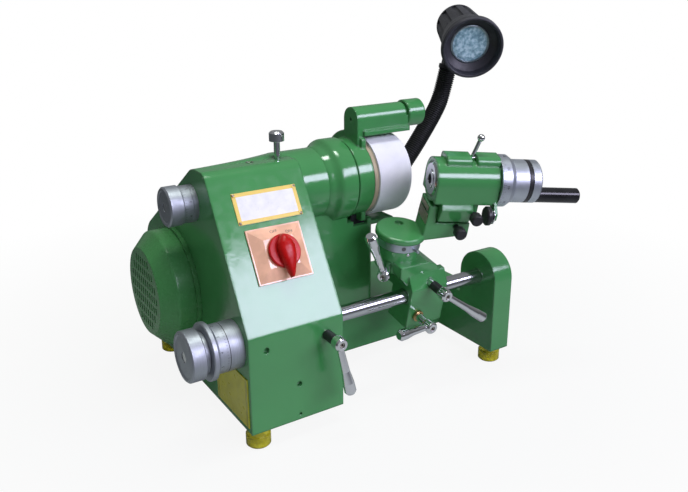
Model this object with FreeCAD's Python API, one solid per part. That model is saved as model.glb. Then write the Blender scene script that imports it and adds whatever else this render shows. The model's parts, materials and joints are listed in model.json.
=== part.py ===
"""Bench cutter grinder: cup wheel headstock, guide bar, swivel carriage and indexing work head.

All sizes are in millimetres. The machine is built on its own datum: X runs along the wheel spindle,
Y runs from the operator to the back, Z is up, and the corner of the headstock box is zero. At the end
every piece is moved together so that the origin is the middle of the footprint, on the bench.
"""

import FreeCAD, Part
import math
import os

V = FreeCAD.Vector

# Clearances
RUNNING = 0.05            # radial play of a shaft that turns or slides in its hole
AIR = 0.4                 # gap between faces of pieces that move past each other

# Headstock box
BOX_WIDTH = 113.0
BOX_DEPTH = 298.0
FRONT_HEIGHT = 110.5      # height of the upright front below the sloped panel
SLOPE_DEG = 59.45
TOP_HEIGHT = 262.6
TOP_LENGTH = 32.24        # flat top, from the sloped front to the back slope
BACK_SLOPE_DEG = 33.0
WALL = 8.0
TOP_FRONT_ROUND = 14.0
TOP_BACK_ROUND = 30.0
BACK_ROUND = 45.0
CREASE_ROUND = 3.0

# Spindle line
SPINDLE_BACK = 4.0        # spindle axis behind the end of the flat top
SPINDLE_DROP = 39.6       # spindle axis below the top
TUBE_R = 42.0             # cylinder of the casting around the spindle
NOSE_RING_R = 45.0
NOSE_RING_START = 163.0
NOSE_FACE_X = 188.0
SPIGOT_R = 40.0
SPIGOT_LENGTH = 8.0
QUILL_R = 30.0
QUILL_START = 100.0
QUILL_END = 200.0
QUILL_BORE_R = 24.0
BEARING_R = 26.0
BEARING_WIDTH = 14.0
SHAFT_R = 12.5
SHAFT_TAIL_R = 9.0
SHAFT_TAIL_X = 40.0
SHAFT_FRONT_R = 10.0      # wheel seat, for a 20 mm wheel bore
YOKE_NUT_R = 17.0
YOKE_WALL = 3.5
YOKE_START = 26.0
YOKE_THICK = 10.0

# Cup wheel
WHEEL_R = 50.0
WHEEL_WIDTH = 50.0
WHEEL_RIM = 14.0
WHEEL_BACK = 18.0
WHEEL_ROUND = 8.0
FLANGE_R = 47.0
FLANGE_START = 210.5
FLANGE_THICK = 5.5
NUT_R = 15.0
NUT_THICK = 10.0

# Drive
MOTOR_Y = 190.0
MOTOR_Z = 106.0
MOTOR_R = 66.0
MOTOR_WALL = 6.0
MOTOR_INSIDE = 40.0       # how far the motor reaches into the box
MOTOR_FLANGE_R = 72.0
MOTOR_FLANGE_THICK = 5.0
MOTOR_SHAFT_R = 8.0
MOTOR_BEARING_R = 14.0
MOTOR_BEARING_WIDTH = 8.0
COVER_R = 69.0
COVER_STRAIGHT = 20.0
COVER_FACE_R = 52.0
COVER_LENGTH = 37.0
COVER_WALL = 2.5
SPINDLE_PULLEY_R = 22.0
SPEED_UP = 1.857          # 2800 rpm motor, 5200 rpm wheel
PULLEY_START = 43.0
PULLEY_WIDTH = 30.0
BELT_WIDTH = 24.0
BELT_THICK = 2.0
BELT_GAP = 0.3
BELT_ROOM = 2.0           # from the belt on the small pulley to the roof of the box

# Feed knob on the spindle line
SCREW_R = 6.0
FEED_CAP_R = 22.0
FEED_CAP_LENGTH = 16.0
FEED_SLEEVE_R = 20.5
FEED_SLEEVE_LENGTH = 15.6

# Guide bar and its fine adjustment
BAR_R = 9.0
BAR_Y = 32.0
BAR_Z = 94.0
BAR_START = 30.0
BAR_END = 350.0
BUSH_WALL = 3.0
BUSH_INSET = 3.0          # bush behind the face of its casting
FINE_CAP_R = 27.0
FINE_CAP_LENGTH = 16.0
FINE_NECK_R = 22.0
FINE_NECK_LENGTH = 5.0
FINE_RIM_R = 31.0
FINE_RIM_LENGTH = 5.6
FINE_SLEEVE_R = 26.0
FINE_SLEEVE_LENGTH = 30.0

# Pedestal, bed and end bracket
PEDESTAL_END = 225.0
PEDESTAL_BEHIND = 36.0    # behind the spindle axis
PEDESTAL_GAP = 1.0        # below the wheel
BED_FRONT = 103.0         # the pedestal is flush with it
NOTCH_START = 195.0
NOTCH_END = 215.5
BED_BACK = 215.0
BED_HEIGHT = 62.0
BRACKET_START = 336.0
BRACKET_THICK = 28.8
BRACKET_R = 31.5
SPARK_PLATE_END = 258.0

# Feet
FOOT_R = 13.5
FOOT_HEIGHT = 20.0
FOOT_BOLT_R = 4.0
FOOT_INSET = 13.0
FOOT_RIGHT_Y = 18.0
FOOT_BACK_INSET = 26.0

# Carriage, leaning on the bar
LEAN_DEG = 12.3
CARRIAGE_START = 219.0
CARRIAGE_END = 272.0
CARRIAGE_FRONT = 14.2
CARRIAGE_BACK = 22.7
CARRIAGE_TOP = 14.3
CARRIAGE_BOTTOM = 38.0
SLEEVE_WALL = 3.0
SLEEVE_INSET = 3.0        # bush behind the ends of the carriage
SWIVEL_X = 223.4
SWIVEL_Y = 30.0           # behind the bar, measured square to the lean
BOSS_R = 25.0
BOSS_FOOT = 28.0
BOSS_TOP = 57.0
RING_R = 25.6
RING_HEIGHT = 11.6
POST_R = 10.0
DISC_R = 29.6
DISC_THICK = 7.0

# Work head, on its own axis
HEAD_TURN_DEG = -22.5
HEAD_HEIGHT = 141.6       # head axis above the bar, along the lean
HEAD_START = 26.0
HEAD_END = 100.0
HEAD_R = 25.5
HEAD_SIDE_DROP = 20.0
LUG_START = 37.0
LUG_HALF = 13.0
LUG_TOP = 31.5
LUG_ROUND = 7.0
SLOT_START = 66.0         # slot of the small lever, between the two lugs
SLOT_END = 73.0
BLOCK_END = 72.0
BLOCK_HALF = 29.0
BLOCK_FOOT_HALF = 22.0
BLOCK_DROP = 44.0
TILT_DROP = 36.0          # tilt pin below the head axis
TILT_PIN_R = 5.5
CHEEK_START = 25.0
CHEEK_END = 34.2
CHEEK_TOP = -27.0
ARM_TOP = -48.5
ARM_HALF = 17.0
ARM_END = 76.0
HEAD_SPINDLE_R = 16.0
COLLET_R = 11.0
COLLET_BORE_R = 6.0
COLLET_LENGTH = 60.0
COLLET_SLIT = 37.0
NOSE_NUT_R = 19.75
INDEX_RING_R = 30.4
INDEX_RING_END = 112.0
DRUM_R = 25.2
DRUM_START = 118.0
DRUM_END = 151.0
DRUM_BORE_R = 6.5         # long shanks pass through the end cap
GROOVE_START = 135.0
GROOVE_END = 140.5
GROOVE_R = 22.5
CRANK_R = 9.0
CRANK_LENGTH = 57.0
CRANK_OFFSET = 15.0

# Guard arm over the wheel
COLLAR_R = 48.0
GUARD_PLATE_R = 57.0
GUARD_FORWARD = 28.0      # front edge of the back plate before the spindle axis
HOOD_GAP = 3.5
HOOD_WALL = 4.0
HOOD_END = 255.0
BARREL_FORWARD = 9.5
BARREL_RISE = 72.0
BARREL_R = 14.5
BARREL_START = 200.0
BARREL_END = 272.0
DRESSER_R = 6.0
DRESSER_KNOB_R = 16.5
DRESSER_KNOB_LENGTH = 26.0

# Lamp
HOSE_R = 11.7
HOSE_ROOT_R = 10.0
HOSE_BORE_R = 7.0
RIB_COUNT = 112
HOSE_ROUTE = [V(240, 190, 74), V(240, 190, 102), V(256, 184, 142), V(290, 176, 178),
              V(322, 171, 213), V(352, 170, 252), V(379, 170, 289)]
LAMP_RIM = V(363.7, 90.0, 370.1)
LAMP_AIM = V(-0.450, -0.858, -0.247)
LAMP_STEM = V(-0.181, 0.098, -0.979)   # way of the hose below the hinge
SHADE_LENGTH = 98.0
SHADE_R = 38.8
SHADE_MOUTH_R = 34.8
SHADE_BAND = 8.0          # straight band behind the rim
SHADE_FLARE = 30.0        # from the band back to the neck
SHADE_NECK_R = 31.2
SHADE_TAIL_R = 27.4
FLUTE_COUNT = 12
FLUTE_R = 3.4
FLUTE_START = 8.0
FLUTE_END = 60.0
LENS_R = 22.5
LENS_DEPTH = 16.0         # glass behind the rim
LENS_THICK = 12.0
HINGE_PIN_R = 2.5
FORK_DROP = 14.0
LAMP_LUG_BACK = 76.0      # lug behind the shade's rim
LAMP_PIVOT_DROP = 41.0    # hinge from the lamp's axis
LAMP_BASE_R = 20.0
LAMP_BASE_HEIGHT = 12.0

# Switch and plates on the slope: centre along the box and up the slope
SWITCH_U = 59.5
SWITCH_V = 79.5
SWITCH_W = 64.0
SWITCH_H = 59.5
SWITCH_FACE_W = 35.0
SWITCH_FACE_H = 31.0
SWITCH_RISE = 8.0
KNOB_U = 61.5
KNOB_R = 18.2
NAME_U = 61.5
NAME_V = 133.2
NAME_W = 76.0
NAME_H = 34.6
PLATE_THICK = 1.0
SIDE_PLATE_FRONT = 5.0
SIDE_PLATE_WIDTH = 79.0
SIDE_PLATE_LOW = 6.0
SIDE_PLATE_HEIGHT = 57.0
KNOB_STEM_R = 4.0

# Clamp levers, stop pin and thumb screws
LOCK_X = 92.5
LOCK_STUD_R = 5.0
STOP_X = 97.4
STOP_FORWARD = 16.0       # before the spindle axis
STOP_R = 3.5
CLAMP_DEPTH = 8.0
LOCK_REACH = 27.0         # how far a lever's handle stands off its casting
LOCK_GRIP = V(11, -6, -60)
UPPER_REACH = 30.0
UPPER_GRIP = V(58, -16, -40)
LOWER_REACH = 27.0
LOWER_GRIP = V(-48, -4, 3)
SWIVEL_CLAMP_SIDE = 8.5   # stud left of the swivel axis
SWIVEL_CLAMP_RISE = 38.0
SWIVEL_CLAMP_OUT = 18.0
SWIVEL_REACH = 25.0
SWIVEL_GRIP = V(-30, -2, 58)
THUMB_STEM_R = 3.0
ARM_KNOB_S = 60.0
ARM_KNOB_Z = -52.5
HEAD_KNOB_S = 75.0
HEAD_KNOB_Z = -33.0
STEP_END = 79.5           # step of the head's block that carries the thumb screw
EAR_START = 95.8          # ear that carries the index plunger
PLUNGER_R = 3.0
PLUNGER_Y = -30.0
PLUNGER_Z = -31.0
PLUNGER_START = 86.3
PLUNGER_KNOB_R = 11.0
LOCK_PIN_S = 69.0
LOCK_PIN_Z = 27.0
LOCK_PIN_R = 2.6
LOCK_PIN_START = 61.0
LOCK_PIN_LENGTH = 16.0
LOCK_WAY = V(0.25, 0, 1)
LOCK_STEM = 24.0
LOCK_BALL_R = 4.2


def cyl(radius, start, axis, length):
    """Round bar of the given length from start along axis."""
    return Part.makeCylinder(radius, length, start, axis)


def ring(outer, inner, start, axis, length):
    """Round bar with a hole along its axis."""
    return cyl(outer, start, axis, length).cut(cyl(inner, start, axis, length))


def box(x0, x1, y0, y1, z0, z1):
    """Block between two corners."""
    return Part.makeBox(x1 - x0, y1 - y0, z1 - z0, V(x0, y0, z0))


def prism(points, direction):
    """Flat outline through the points, carried along direction."""
    return Part.Face(Part.makePolygon(points + [points[0]])).extrude(direction)


def turned(profile, start, axis):
    """Outline of (along, radius) points spun about axis, from start."""
    points = [V(along, 0, radius) for along, radius in profile]
    solid = Part.Face(Part.makePolygon(points + [points[0]])).revolve(V(0, 0, 0), V(1, 0, 0), 360)
    solid.Placement = FreeCAD.Placement(start, FreeCAD.Rotation(V(1, 0, 0), axis))
    return solid


def joined(first, *others):
    """One solid from touching or overlapping pieces."""
    return first.fuse(list(others)).removeSplitter()


def less(first, *others):
    """First with the others taken out."""
    return first.cut(list(others))


def rounded(shape, radius, wanted):
    """Round the edges that the test picks."""
    return shape.makeFillet(radius, [edge for edge in shape.Edges if wanted(edge)])


def runs_along(edge, axis, near, reach=0.5):
    """True for a straight edge along axis ('x', 'y' or 'z') that passes the two other coordinates."""
    others = [name for name in "xyz" if name != axis]
    for vertex in edge.Vertexes:
        for name, value in zip(others, near):
            if abs(getattr(vertex.Point, name) - value) > reach:
                return False
    return len(edge.Vertexes) == 2


def is_round(edge):
    """True for an edge that is a circle or a part of one."""
    return isinstance(edge.Curve, Part.Circle)


def in_frame(shape, placement):
    """Copy of the shape carried from a local frame to the machine's frame."""
    copy = shape.copy()
    copy.Placement = placement.multiply(copy.Placement)
    return copy


def frame_of(origin, along, up):
    """Placement whose local X is along and whose local Z is up."""
    x = V(along).normalize()
    z = V(up).normalize()
    y = z.cross(x)
    turn = FreeCAD.Rotation(x, y, z, "XZY")
    return FreeCAD.Placement(origin, turn)


SLOPE = math.radians(SLOPE_DEG)
SLOPE_FRAME = frame_of(V(0, 0, FRONT_HEIGHT), V(1, 0, 0), V(0, -math.sin(SLOPE), math.cos(SLOPE)))
LEAN_FRAME = FreeCAD.Placement(V(0, BAR_Y, BAR_Z), FreeCAD.Rotation(V(1, 0, 0), LEAN_DEG))
HEAD_IN_LEAN = FreeCAD.Placement(V(SWIVEL_X, SWIVEL_Y, HEAD_HEIGHT),
                                 FreeCAD.Rotation(V(0, 0, 1), HEAD_TURN_DEG))
HEAD_FRAME = LEAN_FRAME.multiply(HEAD_IN_LEAN)

BLOCK_START = CHEEK_END + 2 * AIR
SLOPE_TOP_Y = (TOP_HEIGHT - FRONT_HEIGHT) / math.tan(SLOPE)
TOP_BACK_Y = SLOPE_TOP_Y + TOP_LENGTH
SPINDLE_Y = TOP_BACK_Y + SPINDLE_BACK
SPINDLE_Z = TOP_HEIGHT - SPINDLE_DROP
PEDESTAL_BACK = SPINDLE_Y + PEDESTAL_BEHIND
PEDESTAL_TOP = SPINDLE_Z - WHEEL_R - PEDESTAL_GAP
GUARD_PLATE_FRONT = SPINDLE_Y - GUARD_FORWARD
BARREL_Y = SPINDLE_Y - BARREL_FORWARD
BARREL_Z = SPINDLE_Z + BARREL_RISE
STOP_Y = SPINDLE_Y - STOP_FORWARD
SPINDLE = V(0, SPINDLE_Y, SPINDLE_Z)
MOTOR = V(0, MOTOR_Y, MOTOR_Z)
BAR = V(0, BAR_Y, BAR_Z)
X_AXIS = V(1, 0, 0)
MOTOR_PULLEY_R = SPINDLE_PULLEY_R * SPEED_UP
BACK_TOP_Z = TOP_HEIGHT - (BOX_DEPTH - TOP_BACK_Y) * math.tan(math.radians(BACK_SLOPE_DEG))
BRACKET_END = BRACKET_START + BRACKET_THICK
BUSH_R = BAR_R + BUSH_WALL
WHEEL_START = FLANGE_START + FLANGE_THICK
WHEEL_END = WHEEL_START + WHEEL_WIDTH
COLLAR_END = FLANGE_START - AIR * 3
FEET = [(FOOT_INSET, FOOT_INSET), (FOOT_INSET, BOX_DEPTH - FOOT_BACK_INSET),
        ((BRACKET_START + BRACKET_END) / 2, FOOT_RIGHT_Y),
        ((BRACKET_START + BRACKET_END) / 2, BED_BACK - FOOT_RIGHT_Y)]
CLAMP_ONE = V(CARRIAGE_START + 29, -10.0, 18.5)
CLAMP_TWO = V(CARRIAGE_START + 14, -CARRIAGE_FRONT, -22.0)
SWIVEL_CLAMP_WAY = V(-0.72, -0.69, 0.0).normalize()
SWIVEL_CLAMP_LINE = V(SWIVEL_X - SWIVEL_CLAMP_SIDE, SWIVEL_Y, SWIVEL_CLAMP_RISE)
SWIVEL_CLAMP = SWIVEL_CLAMP_LINE + SWIVEL_CLAMP_WAY * SWIVEL_CLAMP_OUT


def on(line, x):
    """Point at X on one of the machine's lines."""
    return V(x, line.y, line.z)


def headstock_box():
    """Hollow box with the sloped front, the rounded top and the long back slope."""
    corners = [(0, 0), (0, FRONT_HEIGHT), (SLOPE_TOP_Y, TOP_HEIGHT), (TOP_BACK_Y, TOP_HEIGHT),
               (BOX_DEPTH, BACK_TOP_Z), (BOX_DEPTH, 0)]
    outline = [V(0, y, z) for y, z in corners]
    face = Part.Face(Part.makePolygon(outline + [outline[0]]))
    shell = face.extrude(V(BOX_WIDTH, 0, 0))
    for corner, radius in ((1, CREASE_ROUND), (2, TOP_FRONT_ROUND), (3, TOP_BACK_ROUND), (4, BACK_ROUND)):
        shell = rounded(shell, radius, lambda edge: runs_along(edge, "x", corners[corner]))
    inside = face.makeOffset2D(-WALL).extrude(V(BOX_WIDTH - 2 * WALL, 0, 0))
    inside.translate(V(WALL, 0, 0))
    below = box(WALL, BOX_WIDTH - WALL, WALL, BOX_DEPTH - WALL, -1, 2 * WALL)
    return less(shell, inside, below)


def base_casting():
    """Headstock box, spindle tube on its pedestal, bed and end bracket in one casting."""
    tube = cyl(TUBE_R, on(SPINDLE, BOX_WIDTH - WALL - 5), X_AXIS, NOSE_FACE_X - BOX_WIDTH + WALL + 5)
    nose = cyl(NOSE_RING_R, on(SPINDLE, NOSE_RING_START), X_AXIS, NOSE_FACE_X - NOSE_RING_START)
    spigot = cyl(SPIGOT_R, on(SPINDLE, NOSE_FACE_X), X_AXIS, SPIGOT_LENGTH)
    pedestal = box(BOX_WIDTH - WALL, PEDESTAL_END, BED_FRONT, PEDESTAL_BACK, 0, PEDESTAL_TOP)
    pedestal = rounded(pedestal, 8, lambda edge: runs_along(edge, "z", (PEDESTAL_END, BED_FRONT)))
    neck = box(BOX_WIDTH - WALL, NOSE_FACE_X - 2, BED_FRONT, PEDESTAL_BACK, PEDESTAL_TOP - 5,
               SPINDLE_Z)
    bed = box(BOX_WIDTH - WALL, BRACKET_START + 5, BED_FRONT, BED_BACK, 0, BED_HEIGHT)
    bracket = box(BRACKET_START, BRACKET_END, 0, 2 * BRACKET_R, 0, BAR_Z)
    arch = cyl(BRACKET_R, V(BRACKET_START, BRACKET_R, BAR_Z), X_AXIS, BRACKET_THICK)
    bracket_back = box(BRACKET_START, BRACKET_END, 2 * BRACKET_R - 5, BED_BACK, 0, BED_HEIGHT)
    plate_y = SPINDLE_Y - 18
    spark_plate = box(PEDESTAL_END - 10, SPARK_PLATE_END, plate_y, plate_y + 40,
                      SPINDLE_Z - WHEEL_R - 11, SPINDLE_Z - WHEEL_R - 6)
    bar_boss = cyl(BUSH_R + 7, on(BAR, BOX_WIDTH / 2), X_AXIS, BOX_WIDTH / 2)
    foot_bosses = [cyl(FOOT_BOLT_R + 7, V(x, y, 0), V(0, 0, 1), 24) for x, y in FEET[:2]]
    casting = joined(headstock_box(), tube, nose, spigot, pedestal, neck, bed, bracket, arch, bracket_back,
                     spark_plate, bar_boss, *foot_bosses)
    hollows = [
        cyl(QUILL_R + RUNNING, on(SPINDLE, BOX_WIDTH - WALL - 6), X_AXIS, PEDESTAL_END),
        cyl(SPINDLE_PULLEY_R + BELT_THICK + BELT_ROOM, on(SPINDLE, WALL), X_AXIS, BOX_WIDTH - 2 * WALL),
        box(BOX_WIDTH + WALL, PEDESTAL_END - WALL, BED_FRONT + WALL, PEDESTAL_BACK - WALL,
            -1, PEDESTAL_TOP - 22),
        box(PEDESTAL_END, BRACKET_START - WALL, BED_FRONT + WALL, BED_BACK - WALL, -1, BED_HEIGHT - WALL),
        cyl(BUSH_R, on(BAR, BOX_WIDTH / 2 - 1), X_AXIS, BOX_WIDTH / 2 + 1 - BUSH_INSET),
        cyl(BUSH_R, on(BAR, BRACKET_START + BUSH_INSET), X_AXIS, BRACKET_THICK - 6 - BUSH_INSET),
        cyl(BAR_R + RUNNING, on(BAR, BOX_WIDTH - WALL), X_AXIS, BRACKET_START + 2 * WALL - BOX_WIDTH),
        cyl(MOTOR_R, on(MOTOR, -1), X_AXIS, WALL + 2),
        cyl(SCREW_R + 1, on(SPINDLE, -1), X_AXIS, WALL + 2),
        cyl(SCREW_R + 1, on(BAR, -1), X_AXIS, WALL + 2),
        box(NOTCH_START, NOTCH_END, BED_FRONT - 2, BED_FRONT + WALL - 1, PEDESTAL_TOP - 6,
            PEDESTAL_TOP + 7),
        cyl(3.3, V(20.5, -1, 93.2), V(0, 1, 0), 6),
        cyl(3.0, V(58.0, -1, 43.2), V(0, 1, 0), 6),
        cyl(1.6, V(58.4, -1, 6.5), V(0, 1, 0), 5),
        cyl(LOCK_STUD_R + RUNNING, V(LOCK_X, -1, BAR_Z - 2), V(0, 1, 0), BAR_Y - BUSH_R),
        cyl(STOP_R + RUNNING, V(STOP_X, STOP_Y, TOP_HEIGHT - WALL - 3), V(0, 0, 1), WALL + 6),
        cyl(3.0, V(63.0, STOP_Y, TOP_HEIGHT - 3), V(0, 0, 1), 6),
        in_frame(box(SWITCH_U - SWITCH_FACE_W / 2, SWITCH_U + SWITCH_FACE_W / 2,
                     SWITCH_V - SWITCH_FACE_H / 2, SWITCH_V + SWITCH_FACE_H / 2, -WALL - 3, 2),
                 SLOPE_FRAME),
    ]
    hollows += [cyl(FOOT_BOLT_R, V(x, y, -1), V(0, 0, 1), 19) for x, y in FEET]
    return less(casting, *hollows)


def bottom_cover():
    """Sheet that closes the box from below, cut clear of the foot bosses."""
    sheet = box(WALL + AIR, BOX_WIDTH - WALL - AIR, WALL + AIR, BOX_DEPTH - WALL - AIR, 0.5, 3.5)
    return less(sheet, *[cyl(FOOT_BOLT_R + 8, V(x, y, -1), V(0, 0, 1), 8) for x, y in FEET[:2]])


def feet():
    """Four round feet, each with the recess of its bolt."""
    profile = [(0, FOOT_BOLT_R), (0, FOOT_R - 1.5), (6, FOOT_R - 1.5), (7, FOOT_R), (18.5, FOOT_R),
               (FOOT_HEIGHT, FOOT_R - 1.5), (FOOT_HEIGHT, 8), (12, 8), (12, FOOT_BOLT_R)]
    return Part.makeCompound([turned(profile, V(x, y, 0), V(0, 0, -1)) for x, y in FEET])


def foot_bolts():
    """Hexagon bolts that hold the feet."""
    bolts = []
    for x, y in FEET:
        shank = cyl(FOOT_BOLT_R, V(x, y, -12), V(0, 0, 1), 28)
        head = hexagon(6.5, V(x, y, -17), 5)
        bolts.append(joined(shank, head))
    return Part.makeCompound(bolts)


def hexagon(radius, centre, height):
    """Upright hexagon prism."""
    points = []
    for step in range(6):
        angle = math.radians(60 * step)
        points.append(centre + V(radius * math.cos(angle), radius * math.sin(angle), 0))
    return prism(points, V(0, 0, height))


def motor_body():
    """Motor shell through the box wall, with its flange and both bearing shields."""
    inner = MOTOR_R - MOTOR_WALL
    profile = [(-MOTOR_FLANGE_THICK, MOTOR_BEARING_R), (-MOTOR_FLANGE_THICK, MOTOR_FLANGE_R),
               (0, MOTOR_FLANGE_R), (0, MOTOR_R), (MOTOR_INSIDE, MOTOR_R), (MOTOR_INSIDE, MOTOR_BEARING_R),
               (MOTOR_INSIDE - MOTOR_BEARING_WIDTH, MOTOR_BEARING_R),
               (MOTOR_INSIDE - MOTOR_BEARING_WIDTH, inner),
               (MOTOR_BEARING_WIDTH - MOTOR_FLANGE_THICK, inner),
               (MOTOR_BEARING_WIDTH - MOTOR_FLANGE_THICK, MOTOR_BEARING_R)]
    return turned(profile, MOTOR, X_AXIS)


def fan_cover():
    """Bell-shaped cover over the fan, with rows of slots in its flat face."""
    start = -MOTOR_FLANGE_THICK
    knee = start - COVER_STRAIGHT
    end = start - COVER_LENGTH
    outer = [(start, COVER_R), (knee, COVER_R), (end, COVER_FACE_R), (end, 0)]
    inner = [(end + COVER_WALL, 0), (end + COVER_WALL, COVER_FACE_R - COVER_WALL),
             (knee + 1, COVER_R - COVER_WALL), (start, COVER_R - COVER_WALL)]
    bell = turned(outer + inner, MOTOR, X_AXIS)
    bell = rounded(bell, 5, lambda edge: is_circle_at(edge, COVER_R, knee))
    slots = []
    for row in range(-3, 4):
        half_row = math.sqrt((COVER_FACE_R - 7) ** 2 - (row * 12.5) ** 2)
        count = int((2 * half_row) // 7.5)
        for place in range(count):
            y = MOTOR_Y + (place - (count - 1) / 2) * 7.5
            z = MOTOR_Z + row * 12.5
            slots.append(box(end - 1, end + COVER_WALL + 1, y - 1.7, y + 1.7, z - 4.3, z + 4.3))
    return less(bell, *slots)


def is_circle_at(edge, radius, x):
    """True for a round edge of the given radius in the plane at X."""
    curve = edge.Curve
    if not isinstance(curve, Part.Circle):
        return False
    return abs(curve.Radius - radius) < 0.1 and abs(curve.Center.x - x) < 0.1


def stator():
    """Wound core inside the motor shell."""
    return ring(MOTOR_R - MOTOR_WALL, 36, on(MOTOR, 6), X_AXIS, MOTOR_INSIDE - 18)


def rotor():
    """Motor shaft with its core."""
    shaft = cyl(MOTOR_SHAFT_R, on(MOTOR, -32), X_AXIS, PULLEY_START + PULLEY_WIDTH + 34)
    core = cyl(35.4, on(MOTOR, 6), X_AXIS, MOTOR_INSIDE - 18)
    return joined(shaft, core)


def motor_bearings():
    """Front and back bearings of the motor."""
    inner = MOTOR_SHAFT_R + RUNNING
    back = ring(MOTOR_BEARING_R, inner, on(MOTOR, -MOTOR_FLANGE_THICK), X_AXIS, MOTOR_BEARING_WIDTH)
    front = ring(MOTOR_BEARING_R, inner, on(MOTOR, MOTOR_INSIDE - MOTOR_BEARING_WIDTH), X_AXIS,
                 MOTOR_BEARING_WIDTH)
    return Part.makeCompound([back, front])


def cooling_fan():
    """Fan with eight flat blades on the back end of the motor shaft."""
    hub = ring(16, MOTOR_SHAFT_R, on(MOTOR, -30), X_AXIS, 14)
    disc = ring(50, MOTOR_SHAFT_R, on(MOTOR, -18), X_AXIS, 2)
    blades = []
    for step in range(8):
        blade = box(-30, -17, MOTOR_Y + 12, MOTOR_Y + 50, MOTOR_Z - 1, MOTOR_Z + 1)
        blade.rotate(MOTOR, X_AXIS, 45 * step)
        blades.append(blade)
    return joined(hub, disc, *blades)


def motor_pulley():
    """Large flat pulley on the motor shaft."""
    return ring(MOTOR_PULLEY_R, MOTOR_SHAFT_R, on(MOTOR, PULLEY_START), X_AXIS, PULLEY_WIDTH)


def spindle_pulley():
    """Small flat pulley on the tail of the spindle."""
    return ring(SPINDLE_PULLEY_R, SHAFT_TAIL_R, on(SPINDLE, PULLEY_START), X_AXIS, PULLEY_WIDTH)


def hull_of_pulleys(small, large, start, length):
    """Solid around two circles and the tangents between them."""
    line = V(0, SPINDLE_Y - MOTOR_Y, SPINDLE_Z - MOTOR_Z)
    reach = line.Length
    lead = math.acos((large - small) / reach)
    bearing = math.atan2(line.z, line.y)
    corners = []
    for side in (1, -1):
        angle = bearing + side * lead
        way = V(0, math.cos(angle), math.sin(angle))
        corners.append((on(MOTOR, start) + way * large, on(SPINDLE, start) + way * small))
    waist = prism([corners[0][0], corners[0][1], corners[1][1], corners[1][0]], V(length, 0, 0))
    return joined(waist, cyl(large, on(MOTOR, start), X_AXIS, length),
                  cyl(small, on(SPINDLE, start), X_AXIS, length))


def drive_belt():
    """Flat belt round both pulleys."""
    start = PULLEY_START + (PULLEY_WIDTH - BELT_WIDTH) / 2
    inner = hull_of_pulleys(SPINDLE_PULLEY_R + BELT_GAP, MOTOR_PULLEY_R + BELT_GAP, start - 1,
                            BELT_WIDTH + 2)
    outer = hull_of_pulleys(SPINDLE_PULLEY_R + BELT_GAP + BELT_THICK,
                            MOTOR_PULLEY_R + BELT_GAP + BELT_THICK,
                            start, BELT_WIDTH)
    return less(outer, inner)


def quill():
    """Sliding sleeve of the spindle, with the yoke that carries the feed thread past the pulley."""
    sleeve = ring(QUILL_R, QUILL_BORE_R, on(SPINDLE, QUILL_START), X_AXIS, QUILL_END - QUILL_START)
    seats = [cyl(BEARING_R, on(SPINDLE, QUILL_START), X_AXIS, BEARING_WIDTH),
             cyl(BEARING_R, on(SPINDLE, QUILL_END - BEARING_WIDTH), X_AXIS, BEARING_WIDTH)]
    nut = ring(YOKE_NUT_R, SCREW_R + RUNNING, on(SPINDLE, YOKE_START), X_AXIS, YOKE_THICK)
    arm = ring(QUILL_R, QUILL_R - YOKE_WALL, on(SPINDLE, YOKE_START), X_AXIS, QUILL_START - YOKE_START + 6)
    bridge = ring(QUILL_R, YOKE_NUT_R - 2, on(SPINDLE, YOKE_START), X_AXIS, YOKE_THICK)
    away = math.degrees(math.atan2(SPINDLE_Z - MOTOR_Z, SPINDLE_Y - MOTOR_Y))
    sector = prism([SPINDLE] + [SPINDLE + V(0, 80 * math.cos(math.radians(away + step)),
                                             80 * math.sin(math.radians(away + step)))
                                for step in (-20, 20, 60)], V(QUILL_START + 6, 0, 0))
    arm = joined(arm, bridge).common(sector)
    return less(joined(sleeve, nut, arm), *seats)


def spindle_bearings():
    """Front and back bearings of the wheel spindle."""
    inner = SHAFT_R + RUNNING
    return Part.makeCompound([
        ring(BEARING_R, inner, on(SPINDLE, QUILL_START), X_AXIS, BEARING_WIDTH),
        ring(BEARING_R, inner, on(SPINDLE, QUILL_END - BEARING_WIDTH), X_AXIS, BEARING_WIDTH)])


def spindle_shaft():
    """Wheel spindle: tail for the pulley, journals, wheel seat and thread."""
    profile = [(SHAFT_TAIL_X, 0), (SHAFT_TAIL_X, SHAFT_TAIL_R), (QUILL_START - 4, SHAFT_TAIL_R),
               (QUILL_START - 4, SHAFT_R), (FLANGE_START, SHAFT_R), (FLANGE_START, SHAFT_FRONT_R),
               (WHEEL_START + WHEEL_BACK + NUT_THICK + 3, SHAFT_FRONT_R),
               (WHEEL_START + WHEEL_BACK + NUT_THICK + 3, 0)]
    return turned(profile, SPINDLE, X_AXIS)


def wheel_flange():
    """Backing flange of the cup wheel."""
    return ring(FLANGE_R, SHAFT_FRONT_R, on(SPINDLE, FLANGE_START), X_AXIS, FLANGE_THICK)


def grinding_wheel():
    """Cup wheel, open to the right, with a rounded rim."""
    cup = WHEEL_R - WHEEL_RIM
    profile = [(WHEEL_START, SHAFT_FRONT_R), (WHEEL_START, WHEEL_R), (WHEEL_END, WHEEL_R), (WHEEL_END, cup),
               (WHEEL_START + WHEEL_BACK, cup - 4), (WHEEL_START + WHEEL_BACK, SHAFT_FRONT_R)]
    wheel = turned(profile, SPINDLE, X_AXIS)
    return rounded(wheel, WHEEL_ROUND, lambda edge: is_circle_at(edge, WHEEL_R, WHEEL_END))


def wheel_nut():
    """Nut that clamps the wheel on its flange."""
    nut = turned([(0, SHAFT_FRONT_R), (0, NUT_R + 5), (3, NUT_R + 5), (3, NUT_R), (NUT_THICK, NUT_R - 1),
                  (NUT_THICK, SHAFT_FRONT_R)], on(SPINDLE, WHEEL_START + WHEEL_BACK), X_AXIS)
    return nut


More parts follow.
